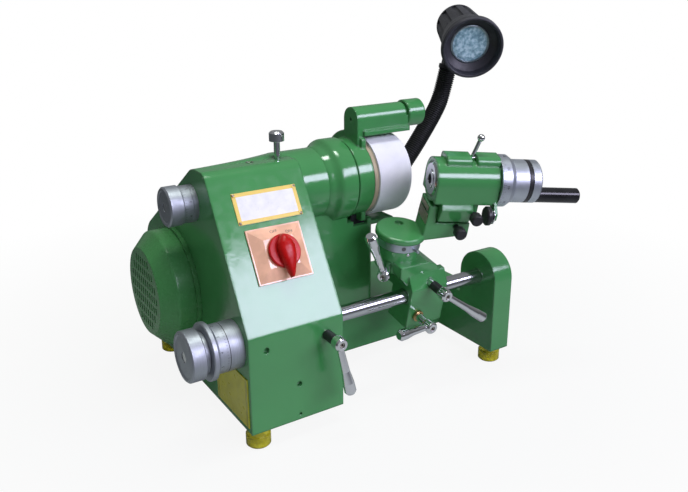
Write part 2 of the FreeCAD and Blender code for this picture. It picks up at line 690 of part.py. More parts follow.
def feed_sleeve():
    """Fixed sleeve of the feed knob on the box wall."""
    profile = [(0, SCREW_R + RUNNING), (0, FEED_SLEEVE_R), (-5, FEED_SLEEVE_R), (-5.4, FEED_SLEEVE_R - 0.6),
               (-6, FEED_SLEEVE_R), (-FEED_SLEEVE_LENGTH, FEED_SLEEVE_R),
               (-FEED_SLEEVE_LENGTH, SCREW_R + RUNNING)]
    return turned(profile, SPINDLE, X_AXIS)


def feed_knob():
    """Round cap of the feed knob, with a shallow dish in its face."""
    start = -FEED_SLEEVE_LENGTH - AIR
    end = start - FEED_CAP_LENGTH
    profile = [(start, SCREW_R), (start, FEED_CAP_R - 0.8), (start - 0.8, FEED_CAP_R),
               (end + 1.6, FEED_CAP_R),
               (end, FEED_CAP_R - 1.6), (end, FEED_CAP_R - 4), (end + 1, FEED_CAP_R - 5),
               (end + 1, SCREW_R)]
    return turned(profile, SPINDLE, X_AXIS)


def feed_screw():
    """Screw of the feed knob, held by a collar behind the wall."""
    end = -FEED_SLEEVE_LENGTH - AIR - FEED_CAP_LENGTH + 1.6
    screw = cyl(SCREW_R, on(SPINDLE, end), X_AXIS, YOKE_START + YOKE_THICK - end - 2)
    collar = cyl(SCREW_R + 4, on(SPINDLE, WALL + AIR), X_AXIS, 4)
    return joined(screw, collar)


def fine_sleeve():
    """Fixed graduated sleeve of the lower knob, with its wide rim."""
    rim_start = -FINE_SLEEVE_LENGTH
    rim_end = rim_start - FINE_RIM_LENGTH
    profile = [(0, SCREW_R + RUNNING), (0, FINE_SLEEVE_R), (rim_start + 3, FINE_SLEEVE_R),
               (rim_start, FINE_RIM_R - 0.5),
               (rim_start - 0.5, FINE_RIM_R), (rim_end + 1, FINE_RIM_R), (rim_end, FINE_RIM_R - 1),
               (rim_end, SCREW_R + RUNNING)]
    return turned(profile, BAR, X_AXIS)


def fine_knob():
    """Lower cap knob with its neck."""
    neck = -FINE_SLEEVE_LENGTH - FINE_RIM_LENGTH - AIR
    start = neck - FINE_NECK_LENGTH
    end = start - FINE_CAP_LENGTH
    profile = [(neck, SCREW_R), (neck, FINE_NECK_R), (start, FINE_NECK_R), (start, FINE_CAP_R - 1),
               (start - 1, FINE_CAP_R), (end + 1.6, FINE_CAP_R), (end, FINE_CAP_R - 1.6),
               (end, FINE_CAP_R - 4),
               (end + 1, FINE_CAP_R - 5), (end + 1, SCREW_R)]
    return turned(profile, BAR, X_AXIS)


def fine_screw():
    """Screw of the lower knob, threaded into the end of the guide bar."""
    end = -FINE_SLEEVE_LENGTH - FINE_RIM_LENGTH - AIR - FINE_NECK_LENGTH - FINE_CAP_LENGTH + 1.6
    screw = cyl(SCREW_R, on(BAR, end), X_AXIS, BAR_START + 18 - end)
    collar = cyl(SCREW_R + 4, on(BAR, WALL + AIR), X_AXIS, 4)
    return joined(screw, collar)


def guide_bar():
    """Ground round bar from the box to the end bracket."""
    bar = cyl(BAR_R, on(BAR, BAR_START), X_AXIS, BAR_END - BAR_START)
    return less(bar, cyl(SCREW_R + RUNNING, on(BAR, BAR_START - 1), X_AXIS, 27))


def bar_bushes():
    """Bronze bushes of the bar in the box and in the bracket."""
    inner = BAR_R + RUNNING
    left = ring(BUSH_R, inner, on(BAR, BOX_WIDTH / 2), X_AXIS, BOX_WIDTH / 2 - BUSH_INSET)
    right = ring(BUSH_R, inner, on(BAR, BRACKET_START + BUSH_INSET), X_AXIS, BRACKET_THICK - 8 - BUSH_INSET)
    return Part.makeCompound([left, right])


def clamp_lever(base, axis, reach, grip, stud=LOCK_STUD_R, inset=0.0):
    """Ball lever: a stud along axis, a hub at its end and a handle that swells towards its tip."""
    way = V(axis).normalize()
    hub_start = base + way * (reach - 9)
    hub = turned([(0, 0), (0, 6.2), (2, 7.4), (11, 7.4), (13, 6.2), (13, 3.2), (10, 3.2), (10, 0)],
                 hub_start, way)
    root = base + way * (reach - 3)
    length = grip.Length
    handle = turned([(0, 0), (0, 3.6), (length * 0.55, 4.6), (length * 0.78, 6.4), (length - 3, 6.6),
                     (length, 4.6), (length, 0)], root, grip)
    handle = less(handle, cyl(3.2, base + way * (reach + 1), way, 6))
    return joined(cyl(stud, base - way * inset, way, reach + inset - 4), hub, handle)


def front_lock_lever():
    """Lever that locks the guide bar from the front of the box."""
    return clamp_lever(V(LOCK_X, 0, BAR_Z - 2), V(0, -1, 0), LOCK_REACH, LOCK_GRIP,
                       inset=BAR_Y - BUSH_R - 3)


def stop_lever():
    """Stop pin with its round head on top of the box."""
    return turned([(-WALL + 2, 0), (-WALL + 2, STOP_R), (19, STOP_R), (20, 8.5), (29, 8.5), (31, 6.5),
                   (31, 0)],
                  V(STOP_X, STOP_Y, TOP_HEIGHT), V(0, 0, 1))


def wheel_guard():
    """Collar on the spindle nose, back plate, rear hood and the barrel over the wheel."""
    collar = cyl(COLLAR_R, on(SPINDLE, NOSE_FACE_X + AIR), X_AXIS, COLLAR_END - NOSE_FACE_X - AIR)
    plate = cyl(GUARD_PLATE_R, on(SPINDLE, COLLAR_END - 6), X_AXIS, 6)
    hood_outer = WHEEL_R + HOOD_GAP + HOOD_WALL
    hood = ring(hood_outer, WHEEL_R + HOOD_GAP, on(SPINDLE, COLLAR_END - 1), X_AXIS,
                HOOD_END - COLLAR_END + 1)
    rear = box(0, BARREL_END, SPINDLE_Y - 14, SPINDLE_Y + 100, SPINDLE_Z - 20, SPINDLE_Z + 100)
    plate = plate.common(box(0, BARREL_END, GUARD_PLATE_FRONT, SPINDLE_Y + 100, PEDESTAL_TOP + AIR,
                             SPINDLE_Z + 100))
    barrel = cyl(BARREL_R, V(BARREL_START, BARREL_Y, BARREL_Z), X_AXIS, BARREL_END - BARREL_START)
    web = box(COLLAR_END - 6, BARREL_END + 3, BARREL_Y - BARREL_R, BARREL_Y + BARREL_R,
              SPINDLE_Z + WHEEL_R + HOOD_GAP, BARREL_Z)
    left_web = box(BARREL_START, COLLAR_END, BARREL_Y - BARREL_R, BARREL_Y + BARREL_R,
                   SPINDLE_Z + COLLAR_R - 6, BARREL_Z)
    lip = box(COLLAR_END - 1, BARREL_END + 3, BARREL_Y - BARREL_R - 3, BARREL_Y + BARREL_R + 3,
              SPINDLE_Z + WHEEL_R + HOOD_GAP, SPINDLE_Z + WHEEL_R + HOOD_GAP + 6)
    guard = joined(collar, plate, hood.common(rear), barrel, web, left_web, lip)
    return less(guard, cyl(SPIGOT_R, on(SPINDLE, NOSE_FACE_X), X_AXIS, SPIGOT_LENGTH),
                cyl(QUILL_R + 2, on(SPINDLE, NOSE_FACE_X), X_AXIS, 40),
                cyl(DRESSER_R + RUNNING, V(BARREL_START + 8, BARREL_Y, BARREL_Z), X_AXIS, 120),
                cyl(2.2, V(BARREL_START - 1, BARREL_Y, BARREL_Z), X_AXIS, 6))


def dresser():
    """Wheel dresser: its rod in the barrel and the round knob at the end."""
    knob_start = BARREL_END + 3.0 + AIR
    rod = cyl(DRESSER_R, V(BARREL_START + 10, BARREL_Y, BARREL_Z), X_AXIS, knob_start - BARREL_START)
    knob = turned([(0, 0), (0, DRESSER_KNOB_R - 1), (1, DRESSER_KNOB_R),
                   (DRESSER_KNOB_LENGTH - 2.5, DRESSER_KNOB_R),
                   (DRESSER_KNOB_LENGTH, DRESSER_KNOB_R - 2.5), (DRESSER_KNOB_LENGTH, 0)],
                  V(knob_start, BARREL_Y, BARREL_Z), X_AXIS)
    return joined(rod, knob)


def switch_plate():
    """Raised bezel of the switch on the sloped front."""
    half_w = SWITCH_W / 2
    half_h = SWITCH_H / 2
    base = box(SWITCH_U - half_w, SWITCH_U + half_w, SWITCH_V - half_h, SWITCH_V + half_h, 0, 2)
    low = rectangle(SWITCH_U, SWITCH_V, SWITCH_W - 3, SWITCH_H - 3, 2)
    high = rectangle(SWITCH_U, SWITCH_V, SWITCH_FACE_W, SWITCH_FACE_H, SWITCH_RISE)
    bezel = joined(base, Part.makeLoft([low, high], True, True))
    bezel = less(bezel, cyl(KNOB_STEM_R + RUNNING, V(KNOB_U, SWITCH_V, -1), V(0, 0, 1), 20))
    return in_frame(bezel, SLOPE_FRAME)


def rectangle(u, v, width, height, rise):
    """Closed outline on the slope at the given rise."""
    corners = [V(u - width / 2, v - height / 2, rise), V(u + width / 2, v - height / 2, rise),
               V(u + width / 2, v + height / 2, rise), V(u - width / 2, v + height / 2, rise)]
    return Part.makePolygon(corners + [corners[0]])


def switch_body():
    """Rotary switch block behind the bezel."""
    inset = AIR
    block = box(SWITCH_U - SWITCH_FACE_W / 2 + inset, SWITCH_U + SWITCH_FACE_W / 2 - inset,
                SWITCH_V - SWITCH_FACE_H / 2 + inset, SWITCH_V + SWITCH_FACE_H / 2 - inset, -34, 0)
    block = less(block, cyl(KNOB_STEM_R + RUNNING, V(KNOB_U, SWITCH_V, -12), V(0, 0, 1), 20))
    return in_frame(block, SLOPE_FRAME)


def switch_knob():
    """Round knob with its pointed grip and the stem into the switch."""
    base = SWITCH_RISE + AIR
    disc = cyl(KNOB_R, V(KNOB_U, SWITCH_V, base), V(0, 0, 1), 4)
    tip = KNOB_R + 11
    grip = prism([V(KNOB_U - 6, SWITCH_V + KNOB_R - 3, base), V(KNOB_U + 6, SWITCH_V + KNOB_R - 3, base),
                  V(KNOB_U + 7, SWITCH_V - 4, base), V(KNOB_U, SWITCH_V - tip, base),
                  V(KNOB_U - 7, SWITCH_V - 4, base)], V(0, 0, 15))
    head = cyl(8.5, V(KNOB_U, SWITCH_V + 2, base), V(0, 0, 1), 15)
    stem = cyl(KNOB_STEM_R, V(KNOB_U, SWITCH_V, -10), V(0, 0, 1), base + 11)
    return in_frame(joined(disc, grip, head, stem), SLOPE_FRAME)


def name_plate():
    """Bare plate on the slope with a rivet in each corner."""
    plate = box(NAME_U - NAME_W / 2, NAME_U + NAME_W / 2, NAME_V - NAME_H / 2, NAME_V + NAME_H / 2, 0,
                PLATE_THICK)
    rivets = []
    for side in (-1, 1):
        for end in (-1, 1):
            spot = V(NAME_U + side * (NAME_W / 2 - 3), NAME_V + end * (NAME_H / 2 - 3), 0)
            rivets.append(cyl(1.6, spot, V(0, 0, 1), PLATE_THICK + 0.8))
    return in_frame(joined(plate, *rivets), SLOPE_FRAME)


def side_plate():
    """Bare plate low on the left face of the box."""
    return box(-PLATE_THICK, 0, SIDE_PLATE_FRONT, SIDE_PLATE_FRONT + SIDE_PLATE_WIDTH,
               SIDE_PLATE_LOW, SIDE_PLATE_LOW + SIDE_PLATE_HEIGHT)


def carriage_sleeve():
    """Bush of the carriage, sliding on the guide bar."""
    inner = BAR_R + RUNNING
    inset = SLEEVE_INSET + AIR
    tube = ring(BAR_R + SLEEVE_WALL, inner, V(CARRIAGE_START + inset, 0, 0), X_AXIS,
                CARRIAGE_END - CARRIAGE_START - 2 * inset)
    return in_frame(tube, LEAN_FRAME)


def carriage():
    """Carriage casting: split block on the bar, shoulders and the boss of the swivel."""
    lower = box(CARRIAGE_START, CARRIAGE_END, -CARRIAGE_FRONT, CARRIAGE_BACK, -CARRIAGE_BOTTOM,
                CARRIAGE_TOP)
    shoulder = prism([V(CARRIAGE_START, -4, 4), V(CARRIAGE_END, -4, 4), V(CARRIAGE_END, -4, 20),
                      V(CARRIAGE_END - 14, -4, 38), V(CARRIAGE_START + 26, -4, 44),
                      V(CARRIAGE_START - 14, -4, 44),
                      V(CARRIAGE_START - 12, -4, 30), V(CARRIAGE_START, -4, 16)],
                     V(0, SWIVEL_Y + BOSS_R - 2, 0))
    roof = prism([V(CARRIAGE_START, -CARRIAGE_FRONT, CARRIAGE_TOP - 6),
                  V(CARRIAGE_START, -CARRIAGE_FRONT, CARRIAGE_TOP),
                  V(CARRIAGE_START, -4, 30), V(CARRIAGE_START, 4, 30),
                  V(CARRIAGE_START, 4, CARRIAGE_TOP - 6)],
                 V(CARRIAGE_END - CARRIAGE_START, 0, 0))
    boss = cyl(BOSS_R, V(SWIVEL_X, SWIVEL_Y, BOSS_FOOT), V(0, 0, 1), BOSS_TOP - BOSS_FOOT)
    casting = joined(lower, shoulder, roof, boss)
    casting = less(casting, cyl(BAR_R + AIR, V(CARRIAGE_START - 1, 0, 0), X_AXIS,
                                CARRIAGE_END - CARRIAGE_START + 2),
                   cyl(BAR_R + SLEEVE_WALL + RUNNING, V(CARRIAGE_START + SLEEVE_INSET, 0, 0), X_AXIS,
                       CARRIAGE_END - CARRIAGE_START - 2 * SLEEVE_INSET),
                   cyl(POST_R + RUNNING, V(SWIVEL_X, SWIVEL_Y, 40), V(0, 0, 1), 40),
                   cyl(LOCK_STUD_R + RUNNING, CLAMP_ONE - V(0, 10, 0), V(0, 1, 0), 10 + CLAMP_DEPTH),
                   cyl(LOCK_STUD_R + RUNNING, CLAMP_TWO - V(0, 10, 0), V(0, 1, 0), 10 + CLAMP_DEPTH),
                   cyl(LOCK_STUD_R + RUNNING, SWIVEL_CLAMP + SWIVEL_CLAMP_WAY * 20,
                       SWIVEL_CLAMP_WAY * -1, 20 + CLAMP_DEPTH))
    return in_frame(casting, LEAN_FRAME)


def upper_carriage_lever():
    """Lever that clamps the carriage at its lean."""
    lever = clamp_lever(CLAMP_ONE, V(0, -1, 0), UPPER_REACH, UPPER_GRIP, inset=CLAMP_DEPTH - 1)
    return in_frame(lever, LEAN_FRAME)


def lower_carriage_lever():
    """Lever that clamps the carriage along the bar."""
    lever = clamp_lever(CLAMP_TWO, V(0, -1, 0), LOWER_REACH, LOWER_GRIP, inset=CLAMP_DEPTH - 1)
    return in_frame(lever, LEAN_FRAME)


def swivel_clamp_lever():
    """Lever that clamps the swivel in its boss."""
    lever = clamp_lever(SWIVEL_CLAMP, SWIVEL_CLAMP_WAY, SWIVEL_REACH, SWIVEL_GRIP, inset=CLAMP_DEPTH - 1)
    return in_frame(lever, LEAN_FRAME)


def swivel_ring():
    """Graduated ring on the boss, with its zero pin."""
    band = ring(RING_R, POST_R + 1, V(SWIVEL_X, SWIVEL_Y, BOSS_TOP), V(0, 0, 1), RING_HEIGHT)
    way = V(0.1, -1, 0).normalize()
    pin = cyl(1.8, V(SWIVEL_X, SWIVEL_Y, BOSS_TOP + 4) + way * (RING_R - 3), way, 11)
    return in_frame(joined(band, pin), LEAN_FRAME)


def swivel_arm():
    """Swivel disc with its post, and the arm with the upright cheek that carries the head."""
    top = BOSS_TOP + RING_HEIGHT + AIR + DISC_THICK - HEAD_HEIGHT
    bottom = top - DISC_THICK
    disc = cyl(DISC_R, V(0, 0, bottom), V(0, 0, 1), DISC_THICK)
    disc = rounded(disc, 2.5, lambda edge: is_round(edge) and edge.Curve.Center.z > top - 1)
    post = cyl(POST_R, V(0, 0, BOSS_TOP - 12 - HEAD_HEIGHT), V(0, 0, 1), 12 + RING_HEIGHT + AIR + 2)
    outline = [V(-6, 0, bottom), V(18, 0, bottom), V(ARM_END, 0, bottom + 9),
               V(ARM_END, 0, ARM_TOP), V(CHEEK_END, 0, ARM_TOP), V(CHEEK_END, 0, CHEEK_TOP),
               V(CHEEK_START, 0, CHEEK_TOP), V(CHEEK_START - 3, 0, top), V(-6, 0, top)]
    arm = prism(outline, V(0, 2 * ARM_HALF, 0))
    arm.translate(V(0, -ARM_HALF, 0))
    arm = joined(disc, post, arm)
    arm = less(arm, cyl(TILT_PIN_R + RUNNING, V(0, 0, -TILT_DROP), X_AXIS, 60),
               cyl(5, V(1, 14, top - 4), V(0, 0, 1), 6),
               cyl(THUMB_STEM_R + RUNNING, V(ARM_KNOB_S, -ARM_HALF - 1, ARM_KNOB_Z), V(0, 1, 0), 12))
    return in_frame(arm, HEAD_FRAME)


def head_body():
    """Work head casting: bored body with its two lugs, clamp block and tilt pin."""
    side = HEAD_R
    body = cyl(HEAD_R, V(HEAD_START, 0, 0), X_AXIS, HEAD_END - HEAD_START)
    skirt = box(HEAD_START, HEAD_END, -side, side, -HEAD_SIDE_DROP, 0)
    block = prism([V(BLOCK_START, -side, -HEAD_SIDE_DROP + 6), V(BLOCK_START, -side, -HEAD_SIDE_DROP),
                   V(BLOCK_START, -BLOCK_HALF, -HEAD_SIDE_DROP - 6),
                   V(BLOCK_START, -BLOCK_FOOT_HALF, -BLOCK_DROP),
                   V(BLOCK_START, BLOCK_FOOT_HALF, -BLOCK_DROP),
                   V(BLOCK_START, BLOCK_HALF, -HEAD_SIDE_DROP - 6),
                   V(BLOCK_START, side, -HEAD_SIDE_DROP), V(BLOCK_START, side, -HEAD_SIDE_DROP + 6)],
                  V(BLOCK_END - BLOCK_START, 0, 0))
    step = box(BLOCK_END - 2, STEP_END, -BLOCK_FOOT_HALF, BLOCK_FOOT_HALF, -BLOCK_DROP + 2,
               -HEAD_SIDE_DROP + 4)
    lugs = []
    for start, end in ((LUG_START, SLOT_START), (SLOT_END, HEAD_END)):
        lug = box(start, end, -LUG_HALF, LUG_HALF, HEAD_R - 14, LUG_TOP)
        corners = [(-LUG_HALF, LUG_TOP), (LUG_HALF, LUG_TOP)]
        lugs.append(rounded(lug, LUG_ROUND, lambda edge: any(runs_along(edge, "x", c) for c in corners)))
    pin = cyl(TILT_PIN_R, V(CHEEK_START + 1, 0, -TILT_DROP), X_AXIS, BLOCK_START - CHEEK_START + 3)
    ear = prism([V(EAR_START, -HEAD_R, -16), V(EAR_START, -14, -HEAD_SIDE_DROP + 2),
                 V(EAR_START, -24, PLUNGER_Z - 5),
                 V(EAR_START, PLUNGER_Y - 4, PLUNGER_Z - 4), V(EAR_START, PLUNGER_Y - 5, PLUNGER_Z + 4)],
                V(HEAD_END - 0.5 - EAR_START, 0, 0))
    body = joined(body, skirt, block, step, pin, ear, *lugs)
    body = less(body, cyl(HEAD_SPINDLE_R + RUNNING, V(HEAD_START - 20, 0, 0), X_AXIS, 200),
                cyl(NOSE_NUT_R + AIR, V(HEAD_START - 1, 0, 0), X_AXIS, 7.5),
                cyl(THUMB_STEM_R + RUNNING, V(HEAD_KNOB_S, -BLOCK_FOOT_HALF - 1, HEAD_KNOB_Z),
                    V(0, 1, 0), 12),
                cyl(PLUNGER_R + RUNNING, V(PLUNGER_START, PLUNGER_Y, PLUNGER_Z), X_AXIS, 40),
                cyl(LOCK_PIN_R + RUNNING, V(LOCK_PIN_START - 1, 0, LOCK_PIN_Z), X_AXIS,
                    LOCK_PIN_LENGTH + 2))
    return in_frame(body, HEAD_FRAME)


def index_spindle():
    """Hollow spindle of the work head."""
    tube = ring(HEAD_SPINDLE_R, COLLET_R, V(HEAD_START + 5.6, 0, 0), X_AXIS,
                DRUM_START + 20 - HEAD_START - 5.6)
    return in_frame(tube, HEAD_FRAME)


def collet():
    """Slit collet for the cutter shank."""
    tube = ring(COLLET_R, COLLET_BORE_R, V(HEAD_START - 2, 0, 0), X_AXIS, COLLET_LENGTH)
    slits = []
    for step in range(3):
        slit = box(HEAD_START - 3, HEAD_START - 3 + COLLET_SLIT, 0, COLLET_R + 1, -0.6, 0.6)
        slit.rotate(V(0, 0, 0), X_AXIS, 90 + 120 * step)
        slits.append(slit)
    return in_frame(less(tube, *slits), HEAD_FRAME)


def nose_nut():
    """Round nut that closes the collet."""
    nut = turned([(HEAD_START - 1.2, COLLET_R), (HEAD_START - 1.2, NOSE_NUT_R - 2),
                  (HEAD_START + 0.8, NOSE_NUT_R),
                  (HEAD_START + 5.6, NOSE_NUT_R), (HEAD_START + 5.6, COLLET_R)], V(0, 0, 0), X_AXIS)
    return in_frame(nut, HEAD_FRAME)


def index_ring():
    """Graduated ring of the index spindle, with a cone down to the drum."""
    band = turned([(HEAD_END + AIR, HEAD_SPINDLE_R), (HEAD_END + AIR, INDEX_RING_R),
                   (INDEX_RING_END, INDEX_RING_R),
                   (DRUM_START, DRUM_R + 1), (DRUM_START, HEAD_SPINDLE_R)], V(0, 0, 0), X_AXIS)
    return in_frame(band, HEAD_FRAME)


def index_drum():
    """Drum and end cap of the index spindle, with the groove of the black ring."""
    profile = [(DRUM_START, HEAD_SPINDLE_R), (DRUM_START, DRUM_R), (GROOVE_START, DRUM_R),
               (GROOVE_START, GROOVE_R),
               (GROOVE_END, GROOVE_R), (GROOVE_END, DRUM_R), (DRUM_END - 1.5, DRUM_R),
               (DRUM_END, DRUM_R - 1.5),
               (DRUM_END, DRUM_BORE_R), (DRUM_START + 20, DRUM_BORE_R), (DRUM_START + 20, HEAD_SPINDLE_R)]
    return in_frame(turned(profile, V(0, 0, 0), X_AXIS), HEAD_FRAME)


def drum_band():
    """Black ring in the groove of the drum."""
    band = turned([(GROOVE_START, GROOVE_R), (GROOVE_START, DRUM_R - 0.8), (GROOVE_START + 0.8, DRUM_R),
                   (GROOVE_END - 0.8, DRUM_R), (GROOVE_END, DRUM_R - 0.8), (GROOVE_END, GROOVE_R)],
                  V(0, 0, 0), X_AXIS)
    return in_frame(band, HEAD_FRAME)


def crank_handle():
    """Straight handle on the end of the drum, beside its axis."""
    grip = turned([(0, 0), (0, CRANK_R - 0.8), (0.8, CRANK_R), (CRANK_LENGTH - 1.5, CRANK_R),
                   (CRANK_LENGTH, CRANK_R - 1.5), (CRANK_LENGTH, 0)], V(DRUM_END, -5, -CRANK_OFFSET),
                  X_AXIS)
    return in_frame(grip, HEAD_FRAME)


def head_lock_lever():
    """Small ball lever in the slot between the lugs."""
    pivot = V(LOCK_PIN_S, 0, LOCK_PIN_Z)
    way = V(LOCK_WAY).normalize()
    pin = cyl(LOCK_PIN_R, V(LOCK_PIN_START, 0, LOCK_PIN_Z), X_AXIS, LOCK_PIN_LENGTH)
    stem = cyl(2.2, pivot, way, LOCK_STEM)
    ball = Part.makeSphere(LOCK_BALL_R, pivot + way * (LOCK_STEM + 1.5))
    return in_frame(joined(pin, stem, ball), HEAD_FRAME)


def thumb_knob(face, way, depth, reach):
    """Black thumb screw: stem into its hole and a round head."""
    stem = cyl(THUMB_STEM_R, face - way * depth, way, depth + reach)
    head = turned([(0, 0), (0, 6.2), (1, 7.0), (9, 7.0), (11, 5.5), (11, 0)], face + way * reach, way)
    return joined(stem, head)


def head_thumb_knob():
    """Thumb screw on the step of the head's block."""
    knob = thumb_knob(V(HEAD_KNOB_S, -BLOCK_FOOT_HALF, HEAD_KNOB_Z), V(0, -1, 0), 9, 8)
    return in_frame(knob, HEAD_FRAME)


def arm_thumb_knob():
    """Thumb screw in the arm, under the head's block."""
    knob = thumb_knob(V(ARM_KNOB_S, -ARM_HALF, ARM_KNOB_Z), V(0, -1, 0), 9, 11)
    return in_frame(knob, HEAD_FRAME)


def index_plunger():
    """Spring plunger of the index ring with its disc knob."""
    reach = HEAD_END - PLUNGER_START
    knob = turned([(0, 0), (0, PLUNGER_KNOB_R - 1.5), (1.5, PLUNGER_KNOB_R), (5, PLUNGER_KNOB_R),
                   (6, PLUNGER_KNOB_R - 1), (6, 6), (9, 5), (9, PLUNGER_R), (reach, PLUNGER_R), (reach, 0)],
                  V(PLUNGER_START, PLUNGER_Y, PLUNGER_Z), X_AXIS)
    return in_frame(knob, HEAD_FRAME)


def lamp_ways():
    """Unit ways of the lamp: its aim, from its axis to the hinge, along the hinge, and along the stem."""
    aim = V(LAMP_AIM).normalize()
    stem = V(LAMP_STEM).normalize()
    down = (stem - aim * stem.dot(aim)).normalize()
    return aim, down, aim.cross(down).normalize(), stem


def lamp_pivot():
    """Centre of the hinge under the lamp's tail."""
    aim, down, side, stem = lamp_ways()
    return LAMP_RIM - aim * LAMP_LUG_BACK + down * LAMP_PIVOT_DROP


def hose_curve():
    """Smooth line of the lamp hose, from its base to the lamp's fork."""
    stem = lamp_ways()[3]
    end = lamp_pivot() + stem * FORK_DROP
    curve = Part.BSplineCurve()
    curve.buildFromPoles(HOSE_ROUTE + [end + stem * 3 * HOSE_R, end], False, 3)
    return curve


def circle_at(curve, distance, radius):
    """Round section square to the hose at a distance along it, with a steady X axis."""
    parameter = curve.parameterAtDistance(distance)
    point = curve.value(parameter)
    way = V(*curve.tangent(parameter)[0])
    side = V(0, 1, 0).cross(way).normalize()
    frame = frame_of(point, side, way)
    section = Part.Wire(Part.makeCircle(radius))
    section.Placement = frame
    return section


def lamp_hose():
    """Ribbed hose with its bore: each rib is root, crest, crest, root."""
    curve = hose_curve()
    length = curve.length()
    pitch = length / RIB_COUNT
    sections = []
    for rib in range(RIB_COUNT):
        for share, radius in ((0.02, HOSE_ROOT_R), (0.27, HOSE_R), (0.73, HOSE_R), (0.98, HOSE_ROOT_R)):
            sections.append(circle_at(curve, (rib + share) * pitch, radius))
    bore = [circle_at(curve, length * step / 48, HOSE_BORE_R) for step in range(49)]
    skin = Part.makeLoft(sections, True, True)
    return skin.cut(Part.makeLoft(bore, True, True))


def lamp_base():
    """Round foot of the lamp on the bed."""
    root = HOSE_ROUTE[0]
    return turned([(0, 0), (0, LAMP_BASE_R), (3, LAMP_BASE_R), (LAMP_BASE_HEIGHT, HOSE_R + 2),
                   (LAMP_BASE_HEIGHT, 0)],
                  V(root.x, root.y, root.z - LAMP_BASE_HEIGHT), V(0, 0, 1))


def lamp_fork():
    """Ferrule and fork at the top of the hose."""
    aim, down, side, stem = lamp_ways()
    ferrule = cyl(HOSE_R + 1, V(0, 0, -FORK_DROP), V(0, 0, 1), 5)
    ears = [box(-9, -4, -6, 6, -FORK_DROP + 3, 5), box(4, 9, -6, 6, -FORK_DROP + 3, 5)]
    pin = cyl(HINGE_PIN_R, V(-8, 0, 0), X_AXIS, 16)
    return in_frame(joined(ferrule, pin, *ears), frame_of(lamp_pivot(), side, stem * -1))


def lamp_shade():
    """Deep round shade that flares to its rim, with a fluted tail and the hinge lug under it."""
    aim, down, side, stem = lamp_ways()
    band_start = SHADE_LENGTH - SHADE_BAND
    seat = SHADE_LENGTH - LENS_DEPTH
    outer = [(0, 0), (0, SHADE_TAIL_R - 5), (2.5, SHADE_TAIL_R - 1.5), (5, SHADE_TAIL_R),
             (band_start - SHADE_FLARE, SHADE_NECK_R), (band_start - 6, SHADE_R - 1.5),
             (band_start, SHADE_R)]
    rim = [(SHADE_LENGTH - 1.5, SHADE_R), (SHADE_LENGTH, SHADE_R - 1.5), (SHADE_LENGTH, SHADE_MOUTH_R + 1),
           (SHADE_LENGTH - 1, SHADE_MOUTH_R), (SHADE_LENGTH - 10, SHADE_MOUTH_R - 1.5)]
    inner = [(seat, LENS_R + 2.5), (seat, LENS_R), (seat - LENS_THICK, LENS_R), (seat - LENS_THICK, 0)]
    shade = turned(outer + rim + inner, V(0, 0, 0), V(0, 0, 1))
    low = V(SHADE_TAIL_R + 1, 0, FLUTE_START)
    high = V(SHADE_NECK_R + 0.4, 0, FLUTE_END)
    flutes = []
    for step in range(FLUTE_COUNT):
        flute = cyl(FLUTE_R, low, (high - low).normalize(), (high - low).Length)
        flute.rotate(V(0, 0, 0), V(0, 0, 1), 360.0 * step / FLUTE_COUNT)
        flutes.append(flute)
    shade = in_frame(less(shade, *flutes), frame_of(LAMP_RIM - aim * SHADE_LENGTH, side, aim))
    lug = box(-4 + AIR, 4 - AIR, -7, 7, -6, LAMP_PIVOT_DROP - SHADE_TAIL_R + 4)
    lug = less(lug, cyl(HINGE_PIN_R + RUNNING, V(-20, 0, 0), X_AXIS, 40))
    return joined(shade, in_frame(lug, frame_of(lamp_pivot(), side, down * -1)))


def lamp_lens():
    """Glass in front of the lamp's light."""
    aim = lamp_ways()[0]
    start = LAMP_RIM - aim * (LENS_DEPTH + LENS_THICK)
    dome = [(0, 0), (0, LENS_R), (LENS_THICK - 1, LENS_R), (LENS_THICK + 0.5, LENS_R - 5),
            (LENS_THICK + 1.5, 0)]
    return turned(dome, start, aim)


PIECES = [
    base_casting, bottom_cover, feet, foot_bolts, motor_body, fan_cover, stator, rotor, motor_bearings,
    cooling_fan, motor_pulley, spindle_pulley, drive_belt, quill, spindle_bearings, spindle_shaft,
    wheel_flange, grinding_wheel, wheel_nut, feed_sleeve, feed_knob, feed_screw, fine_sleeve, fine_knob,
    fine_screw, guide_bar, bar_bushes, front_lock_lever, stop_lever, wheel_guard, dresser, switch_plate,
    switch_body, switch_knob, name_plate, side_plate, carriage_sleeve, carriage, upper_carriage_lever,
    lower_carriage_lever, swivel_clamp_lever, swivel_ring, swivel_arm, head_body, index_spindle, collet,
    nose_nut, index_ring, index_drum, drum_band, crank_handle, head_lock_lever, head_thumb_knob,
    arm_thumb_knob, index_plunger, lamp_base, lamp_hose, lamp_fork, lamp_shade, lamp_lens,
]


def build():
    """All pieces by name on the machine's datum, and the move to the origin under its middle."""
    shapes = {piece.__name__: piece() for piece in PIECES}
    extent = Part.makeCompound(list(shapes.values())).optimalBoundingBox()
    move = V(-(extent.XMin + extent.XMax) / 2, -(extent.YMin + extent.YMax) / 2, -extent.ZMin)
    return shapes, move


def main():
    """Write one file for each piece."""
    os.makedirs("parts", exist_ok=True)
    shapes, move = build()
    for name, shape in shapes.items():
        shape.translate(move)
        shape.exportStep("parts/%s.step" % name)
    print("moved by", [round(value, 4) for value in move])


main()
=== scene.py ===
"""Looks of a bench cutter grinder: paint, metal, printed marks and small fittings on its solids.

All sizes in this file are millimetres on the machine's own datum: X runs along the wheel spindle, Y from
the operator to the back, Z is up, and the front left bottom corner of the headstock box is zero. Meshes
are moved to the shared frame and turned into metres when they are made.
"""

import json
import logging
import math
from dataclasses import dataclass, field
from enum import Enum
from typing import Any, Sequence

import bmesh
import bpy
import numpy as np
from mathutils import Matrix, Vector


